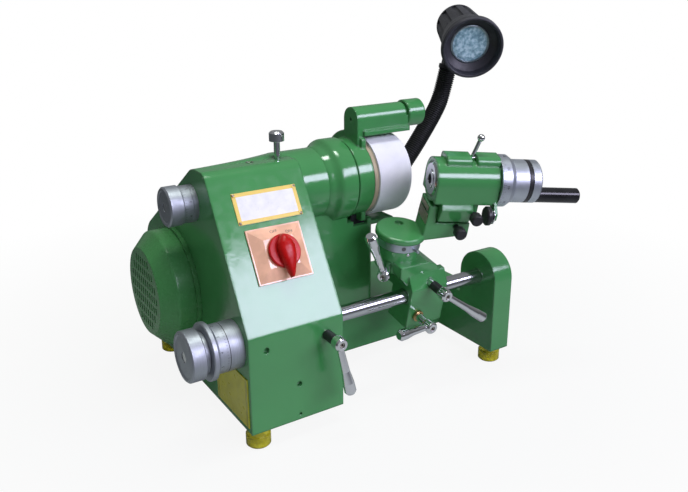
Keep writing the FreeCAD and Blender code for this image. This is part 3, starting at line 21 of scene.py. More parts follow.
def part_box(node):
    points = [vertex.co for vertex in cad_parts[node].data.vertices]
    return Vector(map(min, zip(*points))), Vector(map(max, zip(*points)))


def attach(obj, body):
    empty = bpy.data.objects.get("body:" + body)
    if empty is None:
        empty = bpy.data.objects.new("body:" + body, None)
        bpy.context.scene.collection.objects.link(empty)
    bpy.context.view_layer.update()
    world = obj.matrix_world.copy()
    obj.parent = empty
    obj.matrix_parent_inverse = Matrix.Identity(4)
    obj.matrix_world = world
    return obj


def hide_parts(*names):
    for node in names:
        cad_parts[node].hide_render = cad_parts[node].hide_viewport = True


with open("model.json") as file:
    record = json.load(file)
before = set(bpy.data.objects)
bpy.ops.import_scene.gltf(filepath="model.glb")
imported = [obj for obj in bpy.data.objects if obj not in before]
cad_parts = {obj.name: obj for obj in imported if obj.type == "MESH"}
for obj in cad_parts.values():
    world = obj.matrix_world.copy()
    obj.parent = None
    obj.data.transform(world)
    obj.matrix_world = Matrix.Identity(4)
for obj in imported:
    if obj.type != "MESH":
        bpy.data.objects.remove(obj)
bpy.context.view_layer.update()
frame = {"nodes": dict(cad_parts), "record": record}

LOG = logging.getLogger("cutter_grinder")
logging.basicConfig(level=logging.INFO, format="%(message)s")

MILLI = 0.001
PHOTO_SIZE = (688, 492)
BAR_CORNER = np.array((30.0, 23.0, 85.0))
MERGE = 1e-6
SHARP_DEG = 35.0
CAPITAL_SHARE = 0.7
LETTER_DEPTH = 0.06
CURVE_STEPS = 3
PLATE_CENTRE = (61.5, 133.2)
SWITCH_CENTRE = (61.5, 79.5)
TOP_HEIGHT = 262.6
MOVE = np.array(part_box("guide_bar")[0]) / MILLI - BAR_CORNER

Colour = tuple[float, float, float]
Looks = dict[str, bpy.types.Material]
Shape = tuple[np.ndarray, Any]
Profile = Sequence[tuple[float, float]]


def shade(colour: Colour, share: float) -> Colour:
    """A colour made darker or paler by a share."""
    return (share * colour[0], share * colour[1], share * colour[2])


@dataclass(frozen=True)
class Axes:
    """A local frame on the machine: its origin and three unit directions, in datum millimetres."""

    origin: np.ndarray
    x: np.ndarray
    y: np.ndarray
    z: np.ndarray

    @staticmethod
    def along(origin: Sequence[float], x: Sequence[float], z: Sequence[float]) -> "Axes":
        """Frame from its origin, its X direction and a direction near its Z.

        Args:
            origin: place of the frame.
            x: direction of local X.
            z: direction that local Z leans to; the part of it along X is taken out.

        Returns:
            The right-handed frame.
        """
        ex = np.array(x, float) / np.linalg.norm(x)
        ez = np.array(z, float) - np.dot(z, ex) * ex
        ez = ez / np.linalg.norm(ez)
        return Axes(np.array(origin, float), ex, np.cross(ez, ex), ez)

    def place(self, points: np.ndarray) -> np.ndarray:
        """Local points carried to the machine's datum."""
        return self.origin + points[..., 0:1] * self.x + points[..., 1:2] * self.y + points[..., 2:3] * self.z

    def within(self, origin: Sequence[float], turn_deg: float = 0.0) -> "Axes":
        """Frame at a local origin, turned about local Z.

        Args:
            origin: place of the new frame in this one.
            turn_deg: how far it is turned, in degrees.

        Returns:
            The new frame.
        """
        turn = math.radians(turn_deg)
        x = self.x * math.cos(turn) + self.y * math.sin(turn)
        return Axes.along(self.place(np.array(origin, float)), x, self.z)

    def upright(self) -> "Axes":
        """Frame at the same place whose X is this one's Z."""
        return Axes(self.origin, self.z, self.x, self.y)


SLOPE_TILT = math.radians(59.45)
LEAN = math.radians(12.3)
SPINDLE = np.array((0.0, 126.0, 223.0))
BAR = np.array((0.0, 32.0, 94.0))
RIGHT = (1.0, 0.0, 0.0)
UP = (0.0, 0.0, 1.0)
SLOPE_AXES = Axes.along((0, 0, 110.5), RIGHT, (0, -math.sin(SLOPE_TILT), math.cos(SLOPE_TILT)))
LEAN_AXES = Axes.along(BAR, RIGHT, (0, -math.sin(LEAN), math.cos(LEAN)))
SWIVEL_AXES = LEAN_AXES.within((223.4, 30.0, 0.0))
HEAD_AXES = LEAN_AXES.within((223.4, 30.0, 141.6), -22.5)
SPINDLE_AXES = Axes.along(SPINDLE, RIGHT, UP)
BAR_AXES = Axes.along(BAR, RIGHT, UP)
CHEEK_FALL = math.atan2(3.0, 38.6)
CHEEK_AXES = Axes.along(HEAD_AXES.place(np.array((25.0, 0.0, -27.0))), -HEAD_AXES.y,
                        -HEAD_AXES.x * math.cos(CHEEK_FALL) + HEAD_AXES.z * math.sin(CHEEK_FALL))
LAMP_STEM = (-0.181, 0.098, -0.979)
LAMP_AXES = Axes.along((363.7, 90.0, 370.1), (-0.450, -0.858, -0.247), LAMP_STEM)


class Num:
    """A number socket of a shader tree; arithmetic on it adds Math nodes."""

    def __init__(self, recipe: "Recipe", socket: bpy.types.NodeSocket) -> None:
        """Keeps the tree and the socket."""
        self.recipe = recipe
        self.socket = socket

    def __add__(self, other: "Term") -> "Num":
        """Sum."""
        return self.recipe.maths("ADD", self, other)

    def __radd__(self, other: "Term") -> "Num":
        """Sum, number first."""
        return self.recipe.maths("ADD", other, self)

    def __sub__(self, other: "Term") -> "Num":
        """Difference."""
        return self.recipe.maths("SUBTRACT", self, other)

    def __rsub__(self, other: "Term") -> "Num":
        """Difference, number first."""
        return self.recipe.maths("SUBTRACT", other, self)

    def __mul__(self, other: "Term") -> "Num":
        """Product."""
        return self.recipe.maths("MULTIPLY", self, other)

    def __rmul__(self, other: "Term") -> "Num":
        """Product, number first."""
        return self.recipe.maths("MULTIPLY", other, self)

    def __abs__(self) -> "Num":
        """Size without its sign."""
        return self.recipe.maths("ABSOLUTE", self)

    def __lt__(self, other: "Term") -> "Num":
        """1 where smaller, 0 elsewhere."""
        return self.recipe.maths("LESS_THAN", self, other)

    def __gt__(self, other: "Term") -> "Num":
        """1 where larger, 0 elsewhere."""
        return self.recipe.maths("GREATER_THAN", self, other)

    def __mod__(self, other: "Term") -> "Num":
        """Remainder, never negative."""
        return self.recipe.maths("FLOORED_MODULO", self, other)

    def between(self, low: float, high: float) -> "Num":
        """1 between two limits, 0 elsewhere."""
        return (self > low) * (self < high)


Term = Num | float


class Recipe:
    """One material under construction: its node tree and the few ways nodes are added to it."""

    def __init__(self, name: str) -> None:
        """Starts an empty material.

        Args:
            name: name of the material.
        """
        self.material = bpy.data.materials.new(name)
        self.material.use_nodes = True
        self.tree = self.material.node_tree
        self.tree.nodes.clear()

    @staticmethod
    def of_tree(tree: bpy.types.NodeTree) -> "Recipe":
        """Recipe for a tree that isn't a material's."""
        tree.nodes.clear()
        made = Recipe.__new__(Recipe)
        made.tree = tree
        return made

    def node(self, kind: str, settings: dict[str, Any] | None = None,
             sockets: dict[str | int, Any] | None = None) -> bpy.types.Node:
        """Adds a node, sets it up and fills its sockets.

        Args:
            kind: type of the node.
            settings: properties to set first; "stops" holds a ramp's places and colours.
            sockets: value or link for each named or numbered input.

        Returns:
            The new node.
        """
        made = self.tree.nodes.new(kind)
        for key, value in (settings or {}).items():
            if key == "stops":
                ramp = made.color_ramp.elements
                while len(ramp) < len(value):
                    ramp.new(0.5)
                for element, (place, colour) in zip(ramp, value):
                    element.position = place
                    element.color = (*colour, 1.0)
            else:
                setattr(made, key, value)
        for key, value in (sockets or {}).items():
            target = made.inputs[key]
            source = value.socket if isinstance(value, Num) else value
            if isinstance(source, bpy.types.NodeSocket):
                self.tree.links.new(source, target)
            elif target.type == "RGBA" and len(source) == 3:
                target.default_value = (*source, 1.0)
            else:
                target.default_value = source
        return made

    def maths(self, operation: str, *terms: Term) -> Num:
        """Math node on numbers or number sockets."""
        made = self.node("ShaderNodeMath", {"operation": operation}, dict(enumerate(terms)))
        return Num(self, made.outputs[0])

    def place(self) -> bpy.types.NodeSocket:
        """Object coordinates, in metres."""
        return self.node("ShaderNodeTexCoord").outputs["Object"]

    def local(self, axes: Axes) -> tuple[Num, Num, Num]:
        """Coordinates in a local frame of the machine, in millimetres.

        Args:
            axes: frame to read the surface in.

        Returns:
            The three local coordinates.
        """
        place = self.place()
        origin = (axes.origin + MOVE) * MILLI
        found = []
        for way in (axes.x, axes.y, axes.z):
            dot = self.node("ShaderNodeVectorMath", {"operation": "DOT_PRODUCT"}, {0: place, 1: tuple(way)})
            found.append((Num(self, dot.outputs["Value"]) - float(np.dot(origin, way))) * (1.0 / MILLI))
        return found[0], found[1], found[2]

    def noise(self, size: float, detail: float = 2.0, vector: bpy.types.NodeSocket | None = None) -> Num:
        """Soft noise from 0 to 1.

        Args:
            size: size of its spots in millimetres.
            detail: how many finer layers it has.
            vector: coordinates in metres, Object coordinates if left out.

        Returns:
            The noise value.
        """
        made = self.node("ShaderNodeTexNoise", {"noise_dimensions": "3D"},
                         {"Vector": vector or self.place(), "Scale": 1.0 / (size * MILLI), "Detail": detail})
        return Num(self, made.outputs[0])

    def mix(self, share: Term, first: Any, second: Any) -> bpy.types.NodeSocket:
        """Colour between two colours or colour sockets."""
        made = self.node("ShaderNodeMix", {"data_type": "RGBA"}, {0: share, 6: first, 7: second})
        return made.outputs[2]

    def ramp(self, value: Num, stops: Sequence[tuple[float, Colour]]) -> bpy.types.NodeSocket:
        """Colour picked from stops by a value."""
        return self.node("ShaderNodeValToRGB", {"stops": stops}, {0: value}).outputs[0]

    def spread(self, value: Num, low: float, high: float, start: float = 0.0, end: float = 1.0) -> Num:
        """Value carried from one range to another and held inside it.

        Args:
            value: value to carry.
            low: start of its own range.
            high: end of its own range.
            start: what the low end becomes.
            end: what the high end becomes.

        Returns:
            The carried value.
        """
        made = self.node("ShaderNodeMapRange", {"clamp": True},
                         {0: value, 1: low, 2: high, 3: start, 4: end})
        return Num(self, made.outputs[0])

    def bevel(self, radius: float) -> bpy.types.NodeSocket:
        """Normals rounded over the edges by a radius in millimetres."""
        return self.node("ShaderNodeBevel", {"samples": 4}, {"Radius": radius * MILLI}).outputs[0]

    def bump(self, height: Num, depth: float,
             base: bpy.types.NodeSocket | None = None) -> bpy.types.NodeSocket:
        """Normals pushed by a height.

        Args:
            height: height from 0 to 1.
            depth: how deep the full height is, in millimetres.
            base: normals to start from, the surface's own if left out.

        Returns:
            The pushed normals.
        """
        sockets: dict[str | int, Any] = {"Height": height, "Distance": depth * MILLI, "Strength": 1.0}
        if base is not None:
            sockets["Normal"] = base
        return self.node("ShaderNodeBump", None, sockets).outputs[0]

    def finish(self, **sockets: Any) -> bpy.types.Material:
        """Adds the surface shader and closes the material.

        Args:
            sockets: value or link for each input of the shader, with _ for a space.

        Returns:
            The material.
        """
        filled = {key.replace("_", " "): value for key, value in sockets.items()}
        shader = self.node("ShaderNodeBsdfPrincipled", None, filled)
        self.node("ShaderNodeOutputMaterial", None, {"Surface": shader.outputs[0]})
        return self.material


class Brushing(Enum):
    """Which way the tool marks of a metal surface run."""

    TURNED = "round an axis"
    PLAIN = "no direction"


@dataclass(frozen=True)
class Enamel:
    """Gloss paint over a casting: slow colour drift, faint waves under the paint and orange peel."""

    name: str
    colour: Colour
    roughness: float = 0.12
    edge: float = 3.4
    wave: float = 0.16
    ior: float = 1.7
    drift_size: float = 120.0
    speck_size: float = 1.1
    wave_size: float = 24.0
    peel_size: float = 3.4
    peel: float = 0.022

    def material(self) -> bpy.types.Material:
        """Builds the paint."""
        r = Recipe(self.name)
        drift = r.noise(self.drift_size, 3.0)
        speck = r.noise(self.speck_size, 1.0)
        colour = r.mix(r.spread(drift, 0.35, 0.7), self.colour, shade(self.colour, 0.86))
        colour = r.mix(r.spread(speck, 0.68, 0.8, 0.0, 0.18), colour, shade(self.colour, 0.6))
        waves = r.bump(r.noise(self.wave_size), self.wave, r.bevel(self.edge))
        peel = r.bump(r.noise(self.peel_size), self.peel, waves)
        rough = r.spread(r.noise(9.0, 3.0), 0.3, 0.7, self.roughness - 0.04, self.roughness + 0.06)
        return r.finish(Base_Color=colour, Roughness=rough, Normal=peel, IOR=self.ior)


@dataclass(frozen=True)
class Metal:
    """Bare or plated metal with its tool marks."""

    name: str
    colour: Colour
    roughness: float
    brushing: Brushing = Brushing.PLAIN
    axes: Axes | None = None
    mark: float = 0.35
    depth: float = 0.006
    edge: float = 0.5

    def base(self, r: Recipe) -> dict[str, Any]:
        """Shader inputs of the plain metal.

        Args:
            r: material to add the nodes to.

        Returns:
            Inputs by name.
        """
        vector = None
        if self.brushing is Brushing.TURNED and self.axes is not None:
            along, across, over = r.local(self.axes)
            radius = r.maths("SQRT", across * across + over * over)
            vector = r.node("ShaderNodeCombineXYZ", None,
                            {0: radius * MILLI, 1: along * MILLI}).outputs[0]
        marks = r.noise(self.mark, 3.0, vector)
        cloud = r.noise(14.0, 3.0)
        colour = r.mix(r.spread(marks, 0.3, 0.7), self.colour, shade(self.colour, 0.78))
        rough = r.spread(cloud + marks * 0.5, 0.4, 1.0, self.roughness * 0.75, self.roughness * 1.3)
        normal = r.bump(marks, self.depth, r.bevel(self.edge))
        return {"Base_Color": colour, "Roughness": rough, "Metallic": 1.0, "Normal": normal}

    def material(self) -> bpy.types.Material:
        """Builds the metal."""
        r = Recipe(self.name)
        return r.finish(**self.base(r))


@dataclass(frozen=True)
class Plastic:
    """Moulded plastic or rubber with a fine grain."""

    name: str
    colour: Colour
    roughness: float = 0.4
    grain: float = 0.5
    depth: float = 0.02
    edge: float = 0.7
    ior: float = 1.48

    def material(self) -> bpy.types.Material:
        """Builds the plastic."""
        r = Recipe(self.name)
        pale = tuple(min(1.0, 1.3 * part + 0.004) for part in self.colour)
        cloud = r.noise(18.0, 3.0)
        colour = r.mix(r.spread(cloud, 0.4, 0.7), self.colour, pale)
        rough = r.spread(r.noise(4.0, 3.0), 0.3, 0.7, self.roughness - 0.06, self.roughness + 0.08)
        normal = r.bump(r.noise(self.grain, 2.0), self.depth, r.bevel(self.edge))
        return r.finish(Base_Color=colour, Roughness=rough, Normal=normal, IOR=self.ior)


@dataclass(frozen=True)
class Scale:
    """Printed ticks round a dial: how many, where they start along the axis and how long they are."""

    axes: Axes
    count: int
    start: float
    short: float
    long: float
    every: int = 5
    width_deg: float = 0.9
    radius: float = 0.0
    rings: tuple[float, ...] = ()
    ring_half: float = 0.45


@dataclass(frozen=True)
class Dial:
    """Turned aluminium with black ticks."""

    name: str
    metal: Metal
    scale: Scale
    ink: Colour = (0.03, 0.03, 0.035)

    def material(self) -> bpy.types.Material:
        """Builds the dial: a tick is where the angle is near a whole step and the place along is in reach."""
        r = Recipe(self.name)
        base = self.metal.base(r)
        along, across, over = r.local(self.scale.axes)
        turn = r.maths("ARCTAN2", over, across) * (self.scale.count / math.tau) + self.scale.count
        whole = r.maths("ROUND", turn)
        near = abs(turn - whole) < self.scale.width_deg * self.scale.count / 720.0
        major = (whole % float(self.scale.every)) < 0.5
        reach = major * (self.scale.long - self.scale.short) + self.scale.short
        depth = along - self.scale.start
        inside = (depth > 0.0) * (depth < reach)
        rim = r.maths("SQRT", across * across + over * over) > self.scale.radius
        mask = near * inside * rim
        for place in self.scale.rings:
            mask = r.maths("MAXIMUM", mask, (abs(along - place) < self.scale.ring_half) * rim)
        base["Base_Color"] = r.mix(mask, base["Base_Color"], self.ink)
        base["Metallic"] = 1.0 - mask
        return r.finish(**base)


@dataclass(frozen=True)
class Abrasive:
    """White bonded grit, clouded and pitted."""

    name: str
    colour: Colour = (0.80, 0.80, 0.83)

    def material(self) -> bpy.types.Material:
        """Builds the grit."""
        r = Recipe(self.name)
        grit = r.noise(0.7, 3.0)
        cloud = r.noise(22.0, 3.0)
        colour = r.mix(r.spread(cloud, 0.35, 0.7), self.colour, (0.72, 0.72, 0.76))
        colour = r.mix(r.spread(grit, 0.62, 0.75, 0.0, 0.5), colour, (0.55, 0.55, 0.58))
        normal = r.bump(grit, 0.12, r.bevel(1.0))
        return r.finish(Base_Color=colour, Roughness=0.85, Normal=normal)


@dataclass(frozen=True)
class Framed:
    """Bare sign plate with a printed border."""

    name: str
    axes: Axes
    half: tuple[float, float]
    ground: Colour
    border: Colour
    inset: float
    thick: float
    second: tuple[float, float] | None = None

    def material(self) -> bpy.types.Material:
        """Builds the plate: the border is where the smaller of the two edge distances is in its band."""
        r = Recipe(self.name)
        u, v, _ = r.local(self.axes)
        from_edge = r.maths("MINIMUM", self.half[0] - abs(u), self.half[1] - abs(v))
        line = from_edge.between(self.inset, self.inset + self.thick)
        if self.second is not None:
            line = line + from_edge.between(self.second[0], self.second[0] + self.second[1])
        cloud = r.noise(10.0, 3.0)
        colour = r.mix(r.spread(cloud, 0.35, 0.7), self.ground, shade(self.ground, 0.86))
        colour = r.mix(line, colour, self.border)
        normal = r.bump(r.noise(1.2, 2.0), 0.02, r.bevel(0.3))
        rough = r.spread(r.noise(6.0, 3.0), 0.3, 0.7, 0.26, 0.4)
        return r.finish(Base_Color=colour, Roughness=rough, Normal=normal, Coat_Weight=0.2)


@dataclass(frozen=True)
class Amber:
    """Clear yellow rubber of the feet."""

    name: str
    pale: Colour = (0.66, 0.62, 0.03)
    deep: Colour = (0.46, 0.42, 0.015)

    def material(self) -> bpy.types.Material:
        """Builds the rubber."""
        r = Recipe(self.name)
        cloud = r.noise(5.0, 3.0)
        colour = r.mix(r.spread(cloud, 0.3, 0.7), self.pale, self.deep)
        normal = r.bump(r.noise(1.5, 2.0), 0.03, r.bevel(0.8))
        return r.finish(Base_Color=colour, Roughness=0.22, Normal=normal, Transmission_Weight=0.45, IOR=1.45)


@dataclass(frozen=True)
class Lens:
    """Frosted blue lamp glass with a dappled pattern."""

    name: str
    stops: tuple[tuple[float, Colour], ...] = (
        (0.35, (0.16, 0.30, 0.36)), (0.5, (0.30, 0.50, 0.57)), (0.65, (0.52, 0.72, 0.78)))

    def material(self) -> bpy.types.Material:
        """Builds the glass."""
        r = Recipe(self.name)
        dapple = r.noise(4.5, 2.0)
        colour = r.ramp(dapple, self.stops)
        normal = r.bump(dapple, 0.25)
        return r.finish(Base_Color=colour, Roughness=0.12, Normal=normal, Coat_Weight=1.0)


@dataclass(frozen=True)
class Ruler:
    """Tan metal strip with fine cross lines."""

    name: str
    axes: Axes
    step: float = 2.0
    width: float = 0.35
    lined: tuple[float, float] = (-14.0, -6.5)
    pale: Colour = (0.42, 0.38, 0.29)
    deep: Colour = (0.30, 0.27, 0.21)
    ink: Colour = (0.05, 0.05, 0.05)

    def material(self) -> bpy.types.Material:
        """Builds the strip: a line is where the place across is near a whole step."""
        r = Recipe(self.name)
        u, v, _ = r.local(self.axes)
        share = u * (1.0 / self.step)
        near = abs(share - r.maths("ROUND", share)) < self.width / (2.0 * self.step)
        mask = near * v.between(*self.lined)
        cloud = r.noise(3.0, 3.0)
        colour = r.mix(r.spread(cloud, 0.3, 0.7), self.pale, self.deep)
        colour = r.mix(mask * 0.8, colour, self.ink)
        rough = r.spread(cloud, 0.3, 0.7, 0.3, 0.5)
        normal = r.bump(r.noise(0.8, 2.0), 0.02, r.bevel(0.2))
        return r.finish(Base_Color=colour, Roughness=rough, Metallic=0.7, Normal=normal)


def put(name: str, points: np.ndarray, faces: np.ndarray | list, smooth: bool = True) -> bpy.types.Object:
    """Makes a mesh piece from datum points.

    Args:
        name: name of the piece.
        points: vertices on the datum, in millimetres.
        faces: vertex numbers of each face.
        smooth: whether its faces shade smoothly.

    Returns:
        The new object, at the origin.
    """
    mesh = bpy.data.meshes.new(name)
    places = (points.reshape(-1, 3) + MOVE) * MILLI
    mesh.from_pydata(places.tolist(), [], [list(map(int, face)) for face in faces])
    shell = bmesh.new()
    shell.from_mesh(mesh)
    bmesh.ops.remove_doubles(shell, verts=shell.verts, dist=MERGE)
    bmesh.ops.recalc_face_normals(shell, faces=shell.faces)
    shell.to_mesh(mesh)
    shell.free()
    mesh.polygons.foreach_set("use_smooth", np.full(len(mesh.polygons), smooth))
    mesh.update()
    if smooth:
        mesh.set_sharp_from_angle(angle=math.radians(SHARP_DEG))
    piece = bpy.data.objects.new(name, mesh)
    bpy.context.scene.collection.objects.link(piece)
    return piece


def grid_faces(rows: int, columns: int, ring: bool) -> np.ndarray:
    """Quads of a grid of points.

    Args:
        rows: how many rows the grid has.
        columns: how many points a row has.
        ring: whether the last column joins the first.

    Returns:
        Point numbers of each quad.
    """
    across = columns if ring else columns - 1
    i, j = np.meshgrid(np.arange(rows - 1), np.arange(across), indexing="ij")
    k = (j + 1) % columns
    quads = np.stack((i * columns + j, i * columns + k, (i + 1) * columns + k, (i + 1) * columns + j), -1)
    return quads.reshape(-1, 4)


def lathe(profile: Profile, axes: Axes, sides: int = 48) -> Shape:
    """Points and faces of a closed profile spun about local X: (x, r cos t, r sin t).

    Args:
        profile: (along, radius) points, from the axis back to the axis.
        axes: frame whose X is the axis.
        sides: how many steps make the turn.

    Returns:
        Points on the datum and quads.
    """
    outline = np.array(profile, float)
    turn = np.arange(sides) * math.tau / sides
    local = np.stack((np.repeat(outline[:, :1], sides, 1), outline[:, 1:] * np.cos(turn),
                      outline[:, 1:] * np.sin(turn)), -1)
    return axes.place(local), grid_faces(len(outline), sides, True)[:, ::-1]


def slab(axes: Axes, half: tuple[float, float], corner: float, low: float, high: float,
         turn: int = 6) -> Shape:
    """Rounded rectangle with a thickness: its outline at the bottom, at the top and drawn in a little.

    Args:
        axes: frame whose X and Y lie in the plate.
        half: half of its width and of its height.
        corner: radius of its corners.
        low: local Z of its underside.
        high: local Z of its face.
        turn: how many steps round each corner.

    Returns:
        Points on the datum and quads.
    """
    angle = np.linspace(0.0, math.tau / 4, turn)[None, :] + np.arange(4)[:, None] * math.tau / 4
    side = np.array(((1, 1), (-1, 1), (-1, -1), (1, -1)))
    middle = side * (np.array(half) - corner)
    outline = np.stack((middle[:, :1] + corner * np.cos(angle), middle[:, 1:] + corner * np.sin(angle)), -1)
    outline = outline.reshape(-1, 2)
    soft = 0.25 * (high - low)
    rows = ((0.0, low), (1.0, low), (1.0, high - soft), (1.0 - soft / min(half), high), (0.0, high))
    level = np.ones((len(outline), 1))
    local = np.stack([np.hstack((outline * share, level * height)) for share, height in rows])
    return axes.place(local), grid_faces(len(rows), len(outline), True)


def joined(shapes: Sequence[Shape]) -> Shape:
    """Several shapes as one: their points stacked and their faces renumbered.

    Args:
        shapes: points and faces of each shape.

    Returns:
        Points and faces of all of them.
    """
    points = [shape[0].reshape(-1, 3) for shape in shapes]
    starts = np.cumsum([0] + [len(part) for part in points[:-1]])
    faces = [face for (_, rows), start in zip(shapes, starts) for face in (np.asarray(rows) + start).tolist()]
    return np.concatenate(points), faces


def letters(words: str, height: float) -> Shape:
    """Thin solid letters, centred on zero, read along X with their tops towards Y.

    Args:
        words: what is written.
        height: height of a capital in millimetres.

    Returns:
        Points in millimetres and triangles.
    """
    curve = bpy.data.curves.new("letters", "FONT")
    curve.body = words
    curve.size = height / CAPITAL_SHARE
    curve.align_x = "CENTER"
    curve.align_y = "CENTER"
    curve.extrude = LETTER_DEPTH
    curve.resolution_u = CURVE_STEPS
    holder = bpy.data.objects.new("letters", curve)
    mesh = bpy.data.meshes.new_from_object(holder)
    mesh.calc_loop_triangles()
    points = np.empty(len(mesh.vertices) * 3, np.float32)
    faces = np.empty(len(mesh.loop_triangles) * 3, np.int32)
    mesh.vertices.foreach_get("co", points)
    mesh.loop_triangles.foreach_get("vertices", faces)
    bpy.data.objects.remove(holder)
    bpy.data.curves.remove(curve)
    bpy.data.meshes.remove(mesh)
    return points.reshape(-1, 3).astype(float), faces.reshape(-1, 3)


def dress(node: str, material: bpy.types.Material) -> None:
    """Gives a solid of the frame its material.

    Args:
        node: name of the solid.
        material: its finish.
    """
    mesh = frame["nodes"][node].data
    mesh.materials.clear()
    mesh.materials.append(material)
    LOG.info("solid %s in %s", node, material.name)


def own(piece: bpy.types.Object, body: str, material: bpy.types.Material) -> bpy.types.Object:
    """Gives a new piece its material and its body.

    Args:
        piece: the new piece.
        body: body that carries it.
        material: its finish.

    Returns:
        The same piece.
    """
    piece.data.materials.clear()
    piece.data.materials.append(material)
    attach(piece, body)
    LOG.info("piece %s on %s", piece.name, body)
    return piece


@dataclass
class View:
    """Camera solved from the straight edges of the casting and the rim of the wheel."""

    place: tuple[float, float, float] = (-281.32, -616.11, 454.44)
    azimuth: float = -32.50
    elevation: float = 18.26
    roll: float = -0.38
    focal_px: float = 746.07
    centre_px: tuple[float, float] = (340.83, 223.56)
    sensor: float = 36.0
    clip: tuple[float, float] = (0.02, 50.0)

    def build(self) -> None:
        """Makes the camera: right, up and back follow from the three angles."""
        turn, rise, roll = (math.radians(a) for a in (self.azimuth, self.elevation, self.roll))
        back = np.array((math.sin(turn) * math.cos(rise), -math.cos(turn) * math.cos(rise), math.sin(rise)))
        right = np.array((math.cos(turn), math.sin(turn), 0.0))
        up = np.cross(back, right)
        across = right * math.cos(roll) + up * math.sin(roll)
        above = -right * math.sin(roll) + up * math.cos(roll)
        data = bpy.data.cameras.new("photo_camera")
        camera = bpy.data.objects.new("photo_camera", data)
        bpy.context.scene.collection.objects.link(camera)
        place = (np.array(self.place) + MOVE) * MILLI
        matrix = np.eye(4)
        matrix[:3, 0], matrix[:3, 1], matrix[:3, 2], matrix[:3, 3] = across, above, back, place
        camera.matrix_world = Matrix(matrix.tolist())
        width, height = PHOTO_SIZE
        data.sensor_width = self.sensor
        data.lens = self.focal_px * self.sensor / width
        data.shift_x = (width / 2 - self.centre_px[0]) / width
        data.shift_y = (self.centre_px[1] - height / 2) / width
        data.clip_start, data.clip_end = self.clip
        bpy.context.scene.camera = camera


